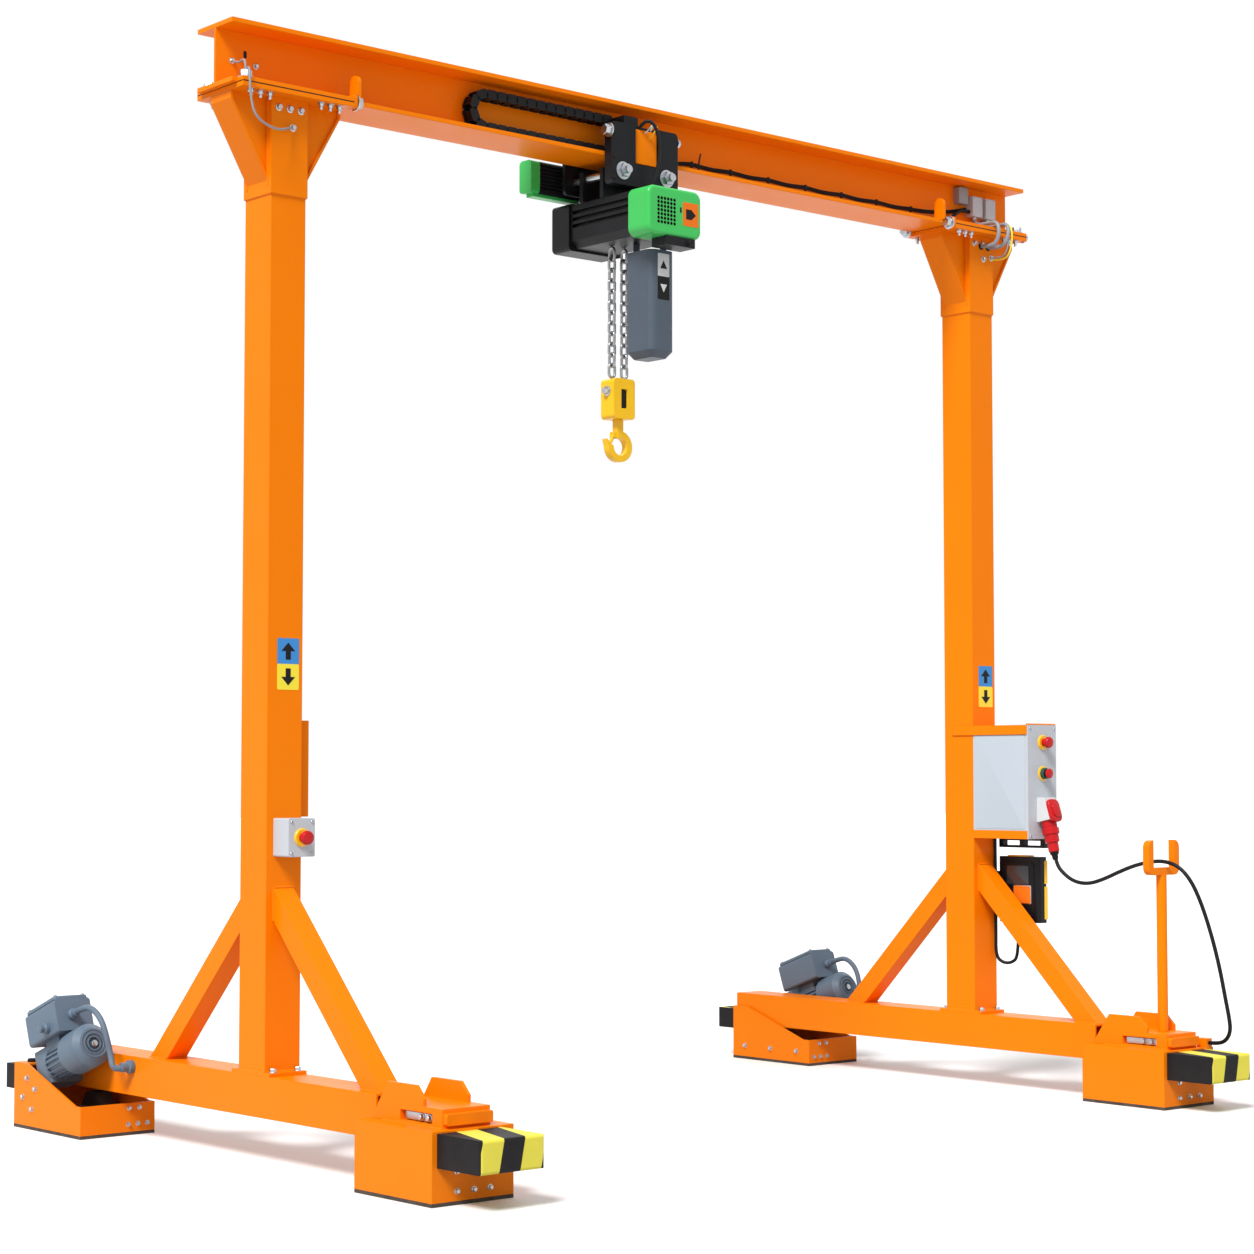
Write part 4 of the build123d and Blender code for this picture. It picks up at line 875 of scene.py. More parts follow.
@dataclass
class Legs:
    """Fasteners, welds and signs on the columns, their heads and their braces."""

    sign_size: float = 0.088
    sign_bottom: float = 1.600
    sign_shift: float = 0.012
    plate: float = 0.018
    pad: float = 0.016
    corner_bolt: float = 0.044
    corner_reach: float = 0.198
    corner_inset: float = 0.032
    clamp: Vec = (0.044, 0.046, 0.016)
    clamp_bolt: float = 0.044
    clamp_rise: float = 0.004
    clamp_inset: float = 0.022
    side_bolt: float = 0.034
    seam: float = 0.0036
    seam_proud: float = 0.0004
    stud_nut: float = 0.021
    stud_end: float = 0.010
    stud_inset: float = 0.024
    stud_reaches: Vec = (0.105, 0.143, 0.181)
    face_bolt: float = 0.020
    face_reach: float = 0.085
    face_spots: tuple[Pair, ...] = ((-0.045, 0.034), (0.0, 0.034), (0.045, 0.034), (0.012, 0.098))
    weld_inset: float = 0.03
    brace_depth: float = 0.113
    weld: float = 0.005
    thin_weld: float = 0.004
    sleeve_half: float = 0.075
    gusset_half: float = 0.064
    gusset_span: Pair = (0.03, 0.33)

    def build(self) -> None:
        """Dress both legs."""
        for side in Side:
            name = side.name.lower()
            low, high = node_box(f"{name}_column")
            self._signs(name, low, high)
            self._head(name, side)
            self._welds(name, low, high)

    def _signs(self, name: str, low: Array, high: Array) -> None:
        """Blue sticker with an up arrow over a yellow one with a down arrow."""
        x = (low[0] + high[0]) / 2 + self.sign_shift
        size = self.sign_size
        patches = []
        for step, ground, spin in ((1.5, BLUE, 0), (0.5, LEMON, 180)):
            centre = (x, low[1], self.sign_bottom + step * size)
            patches += sign(centre, Axis.FRONT, size, size, ground, INK, ARROW, spin)
        add_piece(f"{name}_arrow_signs", patches, Body.FRAME)

    def _head(self, name: str, side: Side) -> None:
        """Bolts and clamps on the pad, the joint under it, studs below the plate and bolts on the face."""
        low, high = node_box(f"{name}_column_head")
        x, y, _ = (low + high) / 2
        top, under = high[2], high[2] - self.plate
        inner = low[0] if side is Side.RIGHT else high[0]
        inward = Axis.LEFT if side is Side.RIGHT else Axis.RIGHT

        def edges(inset: float) -> Pair:
            """Y of the front and the back row, at a distance from the plate's edges."""
            return low[1] + inset, high[1] - inset

        outer = x + side.value * self.corner_reach
        corners = [(outer, edge, top + self.pad) for edge in edges(self.corner_inset)]
        patches = hex_bolts(corners, Axis.UP, self.corner_bolt)
        seats = np.array([(inner, edge, top + self.clamp_rise) for edge in edges(self.clamp_inset)])
        patches.append(rounded_block(*self.clamp, 0.006, 0.003, ORANGE).at(seats, inward))
        patches += hex_bolts(seats + self.clamp[2] * np.array(inward.value), inward, self.clamp_bolt)
        if side is Side.RIGHT:
            patches += hex_bolts([(high[0], low[1] + self.clamp_inset, top)], Axis.RIGHT, self.side_bolt)
        half_x, half_y, _ = (high - low) / 2 + self.seam_proud
        joint = prism(rounded_outline(half_x, half_y, 0.002, 2), self.seam, INK)
        patches.append(joint.at([(x, y, top - self.seam / 2)], Axis.UP))
        studs = [(x + way * reach, edge, under) for way in (-1, 1) for reach in self.stud_reaches
                 for edge in edges(self.stud_inset)]
        patches += hanging_nuts(studs, self.stud_nut, self.stud_end)
        front = [(x + dx, y - self.face_reach, under - drop) for dx, drop in self.face_spots]
        patches += hex_bolts(front, Axis.FRONT, self.face_bolt)
        add_piece(f"{name}_head_bolts", patches, Body.FRAME)

    def _welds(self, name: str, low: Array, high: Array) -> None:
        """Beads at the brace ends, the foot, the head and the gussets."""
        ends = low[0] + self.weld_inset, high[0] - self.weld_inset
        brace_low, brace_high = node_box(f"{name}_braces")
        bottom, top = brace_low[2], brace_high[2]
        under = top - self.brace_depth
        patches = []
        for face, foot in ((low[1], brace_low[1]), (high[1], brace_high[1])):
            toe = foot + math.copysign(self.brace_depth, face - foot)
            patches += [weld_bead((ends[0], face, z), (ends[1], face, z)) for z in (top, under)]
            patches += [weld_bead((x, face, under), (x, face, top)) for x in ends]
            patches += [weld_bead((ends[0], y, bottom), (ends[1], y, bottom)) for y in (foot, toe)]
            patches += [weld_bead((x, foot, bottom), (x, toe, bottom)) for x in ends]
        for z, radius in ((low[2], self.weld), (high[2], self.thin_weld)):
            patches += [weld_bead((low[0], y, z), (high[0], y, z), radius) for y in (low[1], high[1])]
            patches += [weld_bead((x, low[1], z), (x, high[1], z), radius) for x in (low[0], high[0])]
        x, y, _ = (low + high) / 2
        seams = [(x + a * self.sleeve_half, y + b * self.gusset_half) for a in (-1, 1) for b in (-1, 1)]
        foot, head = high[2] + self.gusset_span[0], high[2] + self.gusset_span[1]
        patches += [weld_bead((*seam, foot), (*seam, head), self.thin_weld) for seam in seams]
        add_piece(f"{name}_welds", patches, Body.FRAME, 60)


@dataclass
class Carriages:
    """Fasteners and steel inserts on the wheel boxes, and bolts on the foot plates."""

    box_bolt: float = 0.017
    foot_bolt: float = 0.022
    foot_spot: Pair = (0.05, 0.017)
    front_bolt: float = 0.015
    front_spots: tuple[Pair, ...] = ((-0.063, 0.042), (0.003, 0.042), (0.066, 0.042), (-0.063, 0.102))
    insert: Vec = (0.150, 0.026, 0.012)
    insert_reach: float = 0.068
    insert_back: float = 0.156
    insert_rise: float = 0.025
    insert_bolts: Pair = (-0.056, -0.016)
    flank_spots: tuple[Pair, ...] = ((0.394, 0.188), (0.334, 0.152), (0.425, 0.116), (0.358, 0.076))
    wall_bolt: float = 0.014
    wall_spots: tuple[Pair, ...] = ((0.031, 0.040), (0.070, 0.040), (0.110, 0.040), (0.064, 0.098),
                                    (0.107, 0.098))
    inner_inset: float = 0.08
    inner_level: float = 0.062
    back_inset: float = 0.05
    back_level: float = 0.05
    cap_inset: Pair = (0.05, 0.048)
    cover_proud: float = 0.017
    cover_ends: Pair = (0.035, 0.060)
    cover_weld: float = 0.004

    def build(self) -> None:
        """Dress both carriages."""
        for side in Side:
            name = side.name.lower()
            patches = self._front(name) + self._rear(name, side) + self._feet(name)
            add_piece(f"{name}_carriage_bolts", patches, Body.FRAME)
            add_piece(f"{name}_carriage_welds", self._welds(name), Body.FRAME, 60)

    def _front(self, name: str) -> list[Patch]:
        """Bolts on the end wall of the front box, and clamping plates in the slots of its cover.

        Args:
            name: Leg name.

        Returns:
            Bolt and plate patches.
        """
        low, high = node_box(f"{name}_front_box")
        x = (low[0] + high[0]) / 2
        patches = hex_bolts([(x + dx, low[1], z) for dx, z in self.front_spots], Axis.FRONT, self.front_bolt)
        y, z = node_box("front_covers")[0][1] + self.insert_back, high[2] + self.insert_rise
        plate = rounded_block(*self.insert, 0.004, 0.002, ZINC)
        for out, way in ((Axis.LEFT, -1), (Axis.RIGHT, 1)):
            floor_x = x + way * self.insert_reach
            patches.append(plate.at([(floor_x, y, z)], out))
            top_x = floor_x + way * self.insert[2]
            patches += hex_bolts([(top_x, y + dy, z) for dy in self.insert_bolts], out)
        return patches

    def _rear(self, name: str, side: Side) -> list[Patch]:
        """Bolts on the walls of the rear box and a round cap on its shelf.

        Args:
            name: Leg name.
            side: Leg side.

        Returns:
            Bolt and cap patches.
        """
        low, high = node_box(f"{name}_rear_box")
        outer, inner = (low[0], high[0]) if side is Side.LEFT else (high[0], low[0])
        outward, inward = (Axis.LEFT, Axis.RIGHT) if side is Side.LEFT else (Axis.RIGHT, Axis.LEFT)
        out = side.value
        patches = hex_bolts([(outer, low[1] + dy, z) for dy, z in self.flank_spots], outward, self.box_bolt)
        inner_row = row((inner, low[1] + self.inner_inset, self.inner_level),
                        (inner, high[1] - self.inner_inset, self.inner_level), 3)
        patches += hex_bolts(inner_row, inward, self.box_bolt)
        wall = [(inner + out * dx, low[1], z) for dx, z in self.wall_spots]
        patches += hex_bolts(wall, Axis.FRONT, self.wall_bolt)
        back_row = row((outer - self.back_inset * out, high[1], self.back_level),
                       (inner + self.back_inset * out, high[1], self.back_level), 3)
        patches += hex_bolts(back_row, Axis.BACK, self.box_bolt)
        cap = lathe([(0.020, 0.0), (0.020, 0.009), (0.016, 0.013), (0.006, 0.014)], INK, 24)
        cap_at = (outer - out * self.cap_inset[0], high[1] - self.cap_inset[1], high[2])
        patches.append(cap.at([cap_at], Axis.UP))
        return patches

    def _feet(self, name: str) -> list[Patch]:
        """Bolts through the foot plate.

        Args:
            name: Leg name.

        Returns:
            Bolt patches.
        """
        low, high = node_box("foot_plates")
        column_low, column_high = node_box(f"{name}_column")
        x = (column_low[0] + column_high[0]) / 2
        reach, inset = self.foot_spot
        feet = [(x + dx, y, high[2]) for dx in (-reach, reach) for y in (low[1] + inset, high[1] - inset)]
        return hex_bolts(feet, Axis.UP, self.foot_bolt)

    def _welds(self, name: str) -> list[Patch]:
        """Beads where the carriage beam meets the front box, and round the box's cover.

        Args:
            name: Leg name.

        Returns:
            Bead patches.
        """
        low, high = node_box(f"{name}_carriage_beam")
        box_low, box_high = node_box(f"{name}_front_box")
        y, top = box_high[1], box_high[2]
        patches = [weld_bead((x, y, low[2]), (x, y, top)) for x in (low[0], high[0])]
        patches.append(weld_bead((low[0], y, low[2]), (high[0], y, low[2])))
        cover = (low[0] - self.cover_proud, high[0] + self.cover_proud)
        front, back = box_low[1] + self.cover_ends[0], y - self.cover_ends[1]
        patches += [weld_bead((x, front, top), (x, back, top), self.cover_weld) for x in cover]
        patches.append(weld_bead((cover[0], front, top), (cover[1], front, top), self.cover_weld))
        return patches


@dataclass
class Drives:
    """Leads, lid, screws and fan grille of the travel gearmotors."""

    tilt: float = 20.0
    lead: float = 0.022
    axis_x: float = 1.942
    gear_y: float = 1.1505
    gear_z: float = 0.215
    reach: float = 0.372
    box_middle: float = 0.151
    box_top: float = 0.200
    lid: Vec = (0.138, 0.222, 0.014)
    lid_screws: Pair = (0.056, 0.098)
    stub: Vec = (0.034, 0.470, 0.262)

    def build(self) -> None:
        """Dress both gearmotors."""
        lean = math.radians(self.tilt)
        along = np.array((0, -math.cos(lean), math.sin(lean)))
        above = np.array((0, math.sin(lean), math.cos(lean)))
        for side in Side:
            name = side.name.lower()
            start = np.array((side.value * self.axis_x, self.gear_y, self.gear_z))
            self._grille(name, start + self.reach * along, along)
            self._lid(name, start, along, above)
            self._leads(name, side, start, along, above)

    def _grille(self, name: str, end: Array, along: Array) -> None:
        """Fan cowl end: raised rings round a hub."""
        rings = [lathe([(r, 0.0), (r, 0.0015), (r - 0.004, 0.003), (r - 0.006, 0.0005)], SLATE, 32)
                 for r in (0.054, 0.041, 0.028)]
        hub = lathe([(0.012, 0.0), (0.012, 0.004), (0.007, 0.006)], ZINC, 20)
        frames = frames_at([end + 0.0001 * along], along)
        patches = [patch.spread(frames) for patch in (*rings, hub)]
        add_piece(f"{name}_fan_grille", patches, Body.FRAME)

    def _lid(self, name: str, start: Array, along: Array, above: Array) -> None:
        """Rolled lid on the terminal box with four screws."""
        turn = np.eye(4)
        turn[:3, 0], turn[:3, 1], turn[:3, 2] = (1, 0, 0), -along, above
        turn[:3, 3] = start + self.box_middle * along + self.box_top * above
        lid = rounded_block(*self.lid, 0.012, 0.006, SLATE)
        screw = lathe([(0.0075, 0), (0.0075, 0.003), (0.005, 0.006)], ZINC, 14)
        across, forth = self.lid_screws
        local = np.repeat(np.eye(4)[None], 4, axis=0)
        local[:, :3, 3] = [(sx * across, sy * forth, self.lid[2]) for sx in (-1, 1) for sy in (-1, 1)]
        patches = [lid.spread(turn[None]), screw.spread(np.einsum("ij,njk->nik", turn, local))]
        add_piece(f"{name}_terminal_lid", patches, Body.FRAME)

    def _leads(self, name: str, side: Side, start: Array, along: Array, above: Array) -> None:
        """Thick lead from the terminal box, down in front of the cowl to a stub on the carriage beam."""
        beam_low, beam_high = node_box(f"{name}_carriage_beam")
        wall = beam_low[0] if side is Side.LEFT else beam_high[0]
        out = side.value

        def spot(forth: float, rise: float, shift: float) -> Vec:
            """Point at a distance along the motor, above its axis and outwards of it."""
            return tuple(start + forth * along + rise * above + (out * shift, 0, 0))

        stub = (wall + out * self.stub[0], start[1] - self.stub[1], self.stub[2])
        points = [spot(0.266, 0.138, 0.010), spot(0.325, 0.140, 0.010), spot(0.400, 0.130, 0.006),
                  spot(0.448, 0.070, 0.0), spot(0.455, 0.0, -0.006), spot(0.440, -0.060, -0.018),
                  (wall + out * 0.075, stub[1] + 0.004, 0.250), stub]
        spline_curve(f"{name}_motor_lead", points, self.lead, SLATE, Body.FRAME)
        gland = lathe([(0.020, -0.004), (0.020, 0.014), (0.015, 0.020), (0.015, 0.034), (0.012, 0.036)],
                      SLATE, 20)
        boss = lathe([(0.024, 0.0), (0.024, 0.018), (0.017, 0.022), (0.017, 0.046), (0.013, 0.048)],
                     SLATE, 20)
        patches = [gland.at([points[0]], along), gland.at([spot(0.19, 0.112, 0.073)], (out, 0, 0)),
                   boss.at([(wall, stub[1], stub[2])], (out, 0, 0))]
        add_piece(f"{name}_motor_glands", patches, Body.FRAME)


@dataclass
class Controls:
    """Push buttons, cabinet sheets and screws, inlet lid, plug rings and pendant trim."""

    ring: float = 0.062
    head: float = 0.048
    panel_shift: float = 0.004
    stop_drop: float = 0.073
    start_drop: float = 0.203
    rim: float = 0.0045
    rim_drop: float = 0.060
    sheet_margin: Pair = (0.030, 0.084)
    cover_margins: tuple[tuple[str, float], ...] = (("emergency_stop_box", 0.012),
                                                    ("control_cabinet", 0.014))
    junction_screws: tuple[float, ...] = (0.008, 0.054, 0.092, 0.138)
    junction_margin: float = 0.008
    inlet_out: Vec = (0, -0.953, 0.302)
    inlet_seat: Pair = (-0.5358, 1.160)
    inlet_lid: Vec = (0.070, 0.098, 0.016)
    plug_top: Vec = (1.8, -0.51274, 1.11928)
    plug_tilt: float = 12.0
    plug_rings: tuple[Vec, ...] = ((0.0310, 0.020, 0.0012), (0.0360, 0.043, 0.0008), (0.0300, 0.068, 0.0010),
                                   (0.0300, 0.080, 0.0010))
    pendant_foot: float = 0.034
    label_shift: Pair = (-0.024, 0.118)
    trim: float = 0.010

    def build(self) -> None:
        """Build the buttons and dress the boxes, the plug and the pendant."""
        self._buttons()
        self._cabinet()
        self._screws()
        self._inlet()
        self._pendant()

    def _buttons(self) -> None:
        """Collars, necks and domed heads where the plain buttons stand."""
        stop_low, stop_high = node_box("emergency_stop_box")
        low, high = node_box("control_cabinet")
        stop_x, _, stop_z = (stop_low + stop_high) / 2
        panel_x = (low[0] + high[0]) / 2 + self.panel_shift
        stops = [(stop_x, stop_low[1], stop_z), (panel_x, low[1], high[2] - self.stop_drop)]
        start = [(panel_x, low[1], high[2] - self.start_drop)]
        r, h = self.ring / 2, self.head / 2
        turned = [
            (stops, YELLOW, 36, [(r, 0.0), (r, 0.005), (r - 0.003, 0.008), (0.014, 0.008)]),
            (stops, RED, 24, [(0.017, 0.008), (0.017, 0.013), (0.015, 0.027)]),
            (stops, RED, 36, [(h - 0.006, 0.025), (h, 0.029), (h, 0.037), (h - 0.003, 0.0415),
                              (h - 0.010, 0.0438), (0.003, 0.044)]),
            (start, YELLOW, 36, [(r, 0.0), (r, 0.004), (r - 0.004, 0.006), (0.014, 0.006)]),
            (start, PINE, 30, [(0.024, 0.006), (0.024, 0.018), (0.021, 0.021)]),
            (start, INK, 30, [(0.018, 0.021), (0.018, 0.028), (0.016, 0.030)]),
            (start, RED, 30, [(0.018, 0.029), (0.021, 0.033), (0.021, 0.039), (0.016, 0.043),
                              (0.002, 0.044)])]
        patches = [lathe(profile, finish, sides).at(spots, Axis.FRONT)
                   for spots, finish, sides, profile in turned]
        buttons = add_piece("domed_buttons", patches, Body.FRAME)
        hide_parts("push_buttons")

    def _cabinet(self) -> None:
        """Pale sheet on the cabinet's flank and an orange rim round its panel."""
        low, high = node_box("control_cabinet")
        _, y, z = (low + high) / 2
        width, height = high[1:] - low[1:] - self.sheet_margin
        sheet = rounded_block(width, height, 0.0016, 0.006, 0.0008, PALE)
        patches = [sheet.at([(low[0], y + 0.004, z)], Axis.LEFT)]
        rim_y, x0, x1 = low[1] + 0.008, low[0] + 0.002, high[0] + 0.001
        z0, z1 = high[2] - self.rim_drop, high[2] + 0.002
        corner = (x1, rim_y, z1)
        patches += [tube(row(end, corner, 4), self.rim, ORANGE)
                    for end in ((x0, rim_y, z1), (x1, rim_y, z0))]
        add_piece("cabinet_sheets", patches, Body.FRAME)

    def _screws(self) -> None:
        """Cover screws of the stop box, the cabinet panel and the junction boxes."""
        patches = []
        for node, margin in self.cover_margins:
            low, high = node_box(node)
            spots = [(x, low[1], z) for x in (low[0] + margin, high[0] - margin)
                     for z in (low[2] + margin, high[2] - margin)]
            patches += round_screws(spots, Axis.FRONT)
        low, high = node_box("junction_boxes")
        spots = [(low[0] + dx, low[1], z) for dx in self.junction_screws
                 for z in (low[2] + self.junction_margin, high[2] - self.junction_margin)]
        patches += round_screws(spots, Axis.FRONT, 0.008)
        add_piece("cover_screws", patches, Body.FRAME)

    def _inlet(self) -> None:
        """Red flip lid on the sloping front of the inlet, and rings and a strain relief on the plug."""
        low, high = node_box("supply_inlet")
        x = (low[0] + high[0]) / 2
        out = np.array(self.inlet_out)
        seat = np.array((x, *self.inlet_seat))
        lid = rounded_block(*self.inlet_lid, 0.024, 0.007, RED)
        boss = rounded_block(0.044, 0.060, 0.006, 0.018, 0.003, RED)
        patches = [lid.at([seat], out), boss.at([seat + self.inlet_lid[2] * out], out)]
        lean = math.radians(self.plug_tilt)
        frames = frames_at([self.plug_top], (0.0, -math.sin(lean), -math.cos(lean)))
        for radius, place, rise in self.plug_rings:
            band = lathe([(radius - 0.001, place), (radius + rise, place + 0.002),
                          (radius + rise, place + 0.004), (radius - 0.001, place + 0.006)], RED, 36)
            patches.append(band.spread(frames))
        relief = lathe([(0.019, 0.131), (0.019, 0.141), (0.014, 0.145), (0.0115, 0.164), (0.010, 0.165)],
                       INK, 20)
        patches.append(relief.spread(frames))
        add_piece("inlet_lid_and_plug_rings", patches, Body.FRAME)

    def _pendant(self) -> None:
        """Yellow trim, dark panel, smoked screen and framed orange label of the pendant."""
        low, high = node_box("pendant")
        low[2] += self.pendant_foot
        x, y, z = (low + high) / 2
        width, depth, height = high - low
        face = low[0] - 0.003
        label_at = (face, y + self.label_shift[0], low[2] + self.label_shift[1])
        panel = rounded_block(depth - 0.050, height - 0.044, 0.003, 0.018, 0.0015, BLACK)
        screen = rounded_block(0.120, 0.080, 0.0016, 0.006, 0.0008, SMOKE)
        border = rounded_block(0.100, 0.080, 0.0022, 0.006, 0.001, ZINC)
        label = rounded_block(0.092, 0.072, 0.0030, 0.004, 0.001, STICKER)
        sheets = ((panel, (low[0], y, z)), (screen, (face, y, high[2] - 0.078)), (border, label_at),
                  (label, label_at))
        patches = [sheet.at([spot], Axis.LEFT) for sheet, spot in sheets]
        trim_x, trim_y, joint = high[0] - 0.014, low[1] + 0.003, z + 0.02
        for bottom, top in ((low[2] + 0.016, joint - 0.006), (joint + 0.006, high[2] - 0.016)):
            path = row((trim_x, trim_y, bottom), (trim_x, trim_y, top), 8)
            patches.append(tube(path, self.trim, YELLOW, 12))
        cap = rounded_block(width - 0.008, 0.120, 0.006, 0.016, 0.004, YELLOW)
        patches.append(cap.at([(x, y + 0.010, high[2])], Axis.UP))
        add_piece("pendant_face", patches, Body.FRAME)


@dataclass(frozen=True)
class Cord:
    """A free cord that hangs between two places on the crane."""

    name: str
    node: str
    diameter: float
    length: float
    points: list[Vec]
    pieces: tuple[str, ...] = ()

    def build(self) -> None:
        """Lay the cord and hide the imported one."""
        cord = spline_curve(self.name, self.points, self.diameter, CABLE, Body.FRAME)
        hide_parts(self.node)


MAINS_CORD = Cord("mains_cord", "supply_cord", 0.016, 1.534, [
    (1.8, -0.5402, 0.9902), (1.8, -0.5510, 0.9393), (1.803, -0.5875, 0.900), (1.805, -0.6435, 0.868),
    (1.806, -0.7175, 0.862), (1.806, -0.7955, 0.884), (1.804, -0.8755, 0.916), (1.801, -0.9575, 0.944),
    (1.798, -1.0405, 0.962), (1.797, -1.1175, 0.966), (1.802, -1.1855, 0.942), (1.815, -1.2315, 0.884),
    (1.832, -1.2605, 0.806), (1.850, -1.2825, 0.716), (1.868, -1.3005, 0.620), (1.884, -1.3145, 0.522),
    (1.897, -1.3245, 0.428), (1.906, -1.3355, 0.350), (1.911, -1.3375, 0.300), (1.912, -1.3175, 0.262),
    (1.912, -1.2805, 0.245), (1.912, -1.2325, 0.245)], ("supply_plug",))
PENDANT_LEAD = Cord("pendant_lead", "pendant_cord", 0.014, 0.729, [
    (1.877, -0.2745, 0.652), (1.877, -0.2745, 0.540), (1.864, -0.2485, 0.511), (1.847, -0.2120, 0.511),
    (1.834, -0.1860, 0.540), (1.834, -0.1875, 0.640), (1.835, -0.1860, 0.760), (1.834, -0.1875, 0.880),
    (1.834, -0.1860, 0.975), (1.834, -0.1860, 1.042)])


@dataclass
class BeamWiring:
    """Earthing leads, junction-box conduits, ties and a flat cable on the beam."""

    lead: float = 0.008
    conduit: float = 0.017
    box_face: float = -0.1225
    head_face: float = -0.1805
    head_level: float = 3.590
    starts: Pair = (1.800, 1.884)
    ends: Pair = (1.778, 1.822)
    tie: float = 0.0092
    tie_band: float = 0.002
    tie_span: Pair = (0.16, 1.40)
    tie_y: float = -0.1325
    core: float = 0.0029
    web_face: float = -0.1005
    flat_height: float = 0.047
    flat_sag: float = 0.004
    flat_drop: float = 0.022
    flat_rise: float = 0.048
    clip_span: Pair = (0.16, 1.42)
    clips: int = 7

    def build(self) -> None:
        """Dress both ends of the beam, the cable along its flange and the one on its web."""
        self._left_leads()
        self._right_leads()
        self._ties()
        self._flat_cable()

    def _left_leads(self) -> None:
        """Lead from the web to the corner bolt and on to the column head, the web's bolts, and a dark sheet
        that paints the shade in a slot.
        """
        routes = {
            "left_earth_lead": [
                (-1.965, -0.1035, 3.752), (-1.972, -0.150, 3.730), (-1.978, -0.198, 3.738),
                (-1.978, -0.2085, 3.715), (-1.978, -0.2085, 3.692)],
            "left_plate_lead": [
                (-1.978, -0.2085, 3.692), (-1.984, -0.236, 3.704), (-1.992, -0.256, 3.680),
                (-1.990, -0.258, 3.600), (-1.975, -0.262, 3.530), (-1.915, -0.262, 3.500),
                (-1.850, -0.235, 3.505), (-1.790, -0.196, 3.530), (-1.768, -0.186, 3.535)]}
        for name, points in routes.items():
            spline_curve(name, points, self.lead, WIRE_GREY, Body.FRAME)
        web = self.web_face
        patches = hex_bolts([(-1.965, web, 3.752), (-1.868, web, 3.748)], Axis.FRONT, 0.016)
        # A thin dark sheet on the web paints the shade inside a slot.
        slot = prism(rounded_outline(0.0065, 0.013, 0.0064, 6), 0.0006, INK)
        patches.append(slot.at([(-1.912, web, 3.782)], Axis.FRONT))
        add_piece("left_web_bolts", patches, Body.FRAME)

    def _right_leads(self) -> None:
        """Grey conduits and thin leads from the junction boxes over the pad's edge into the column head."""
        low, _ = node_box("junction_boxes")
        level = self.head_level
        over = [(-0.150, 3.690), (-0.205, 3.689), (-0.262, 3.687), (-0.278, 3.640), (-0.262, 3.592),
                (-0.215, 3.585)]
        share = np.linspace(0.1, 0.9, len(over))
        runs = [("first", self.starts[0], self.ends[0], self.conduit, WIRE_GREY, level),
                ("second", self.starts[1], self.ends[1], self.conduit, WIRE_GREY, level),
                ("thin", 1.862, 1.842, 0.007, WIRE_GREY, 3.548),
                ("yellow", 1.908, 1.846, 0.008, LEMON, 3.540)]
        for name, start, end, width, finish, bottom in runs:
            drop = np.array([0, 0, 0, 0.5, 1, 1]) * (level - bottom)
            middle = [(start + s * (end - start), y, z - d) for s, (y, z), d in zip(share, over, drop)]
            points = [(start, self.box_face, low[2]), (start, self.box_face, low[2] - 0.016), *middle,
                      (end, -0.1812, bottom)]
            spline_curve(f"junction_{name}_lead", points, width, finish, Body.FRAME)
        gland = lathe([(0.013, 0.0), (0.013, 0.007), (0.0105, 0.009), (0.0105, 0.014)], ZINC, 12)
        mouths = lathe([(0.015, 0.0), (0.015, 0.003), (0.0125, 0.0045)], INK, 20)
        patches = [gland.at([(x, self.box_face, low[2]) for x in self.starts], Axis.DOWN),
                   mouths.at([(x, self.head_face, level) for x in self.ends], Axis.FRONT)]
        patches += hex_bolts([(1.842, self.head_face, 3.546)], Axis.FRONT, 0.020)
        box = rounded_block(0.060, 0.072, 0.034, 0.006, 0.003, WIRE_GREY)
        patches.append(box.at([(1.722, self.web_face, 3.812)], Axis.FRONT))
        add_piece("junction_fittings", patches, Body.FRAME)

    def _ties(self) -> None:
        """Narrow bands round the cable on the flange, each a closed loop, and one loose tie end."""
        low, _ = node_box("flange_cable")
        angle = np.linspace(0, 2 * np.pi, 24, endpoint=False)
        patches = []
        for x in np.linspace(*self.tie_span, self.clips):
            y = self.tie_y + 0.0035 * (x > 0.7)
            loop = np.column_stack([np.full_like(angle, x), y + self.tie * np.cos(angle),
                                    low[2] + 0.008 + self.tie * np.sin(angle)])
            patches.append(tube(loop, self.tie_band, INK, 6, closed=True))
        rise = np.linspace(0, 1, 8)
        loose = np.column_stack([self.tie_span[0] + 0.012 * rise**2, np.full(8, -0.1417),
                                 low[2] + 0.010 + 0.075 * rise])
        patches.append(tube(loose, 0.0034, INK, 6))
        add_piece("cable_ties", patches, Body.FRAME)

    def _flat_cable(self) -> None:
        """Flat three-core cable clipped to the web, from the guide chain's fixed end to a junction box.

        Its height is level at the clips, a squared sine lower between them, and eased down and up at its
        ends.
        """
        low, _ = node_box("flange_cable")
        end = node_box("junction_boxes")[0][0]
        height = low[2] + self.flat_height
        x = np.linspace(low[0] + 0.010, end - 0.001, 120)
        first, last = self.clip_span
        pitch = (last - first) / (self.clips - 1)
        sag = self.flat_sag * np.sin(np.pi * (np.clip(x, first, last) - first) / pitch) ** 2
        ease = np.clip((first - x) / (first - low[0]), 0, 1) ** 2
        rise = np.clip((x - last) / (end - last), 0, 1) ** 2
        z = height - sag - self.flat_drop * ease + self.flat_rise * rise
        y = np.full_like(x, self.web_face - self.core - 0.0002)
        patches = [tube(np.column_stack([x, y, z + step * 1.9 * self.core]), self.core, CABLE, 8)
                   for step in (-1, 0, 1)]
        clip = rounded_block(0.010, 8.5 * self.core, 2 * self.core + 0.0006, 0.002, 0.0008, INK)
        places = row((first, self.web_face, height), (last, self.web_face, height), self.clips)
        patches.append(clip.at(places, Axis.FRONT))
        add_piece("flat_cable", patches, Body.FRAME)


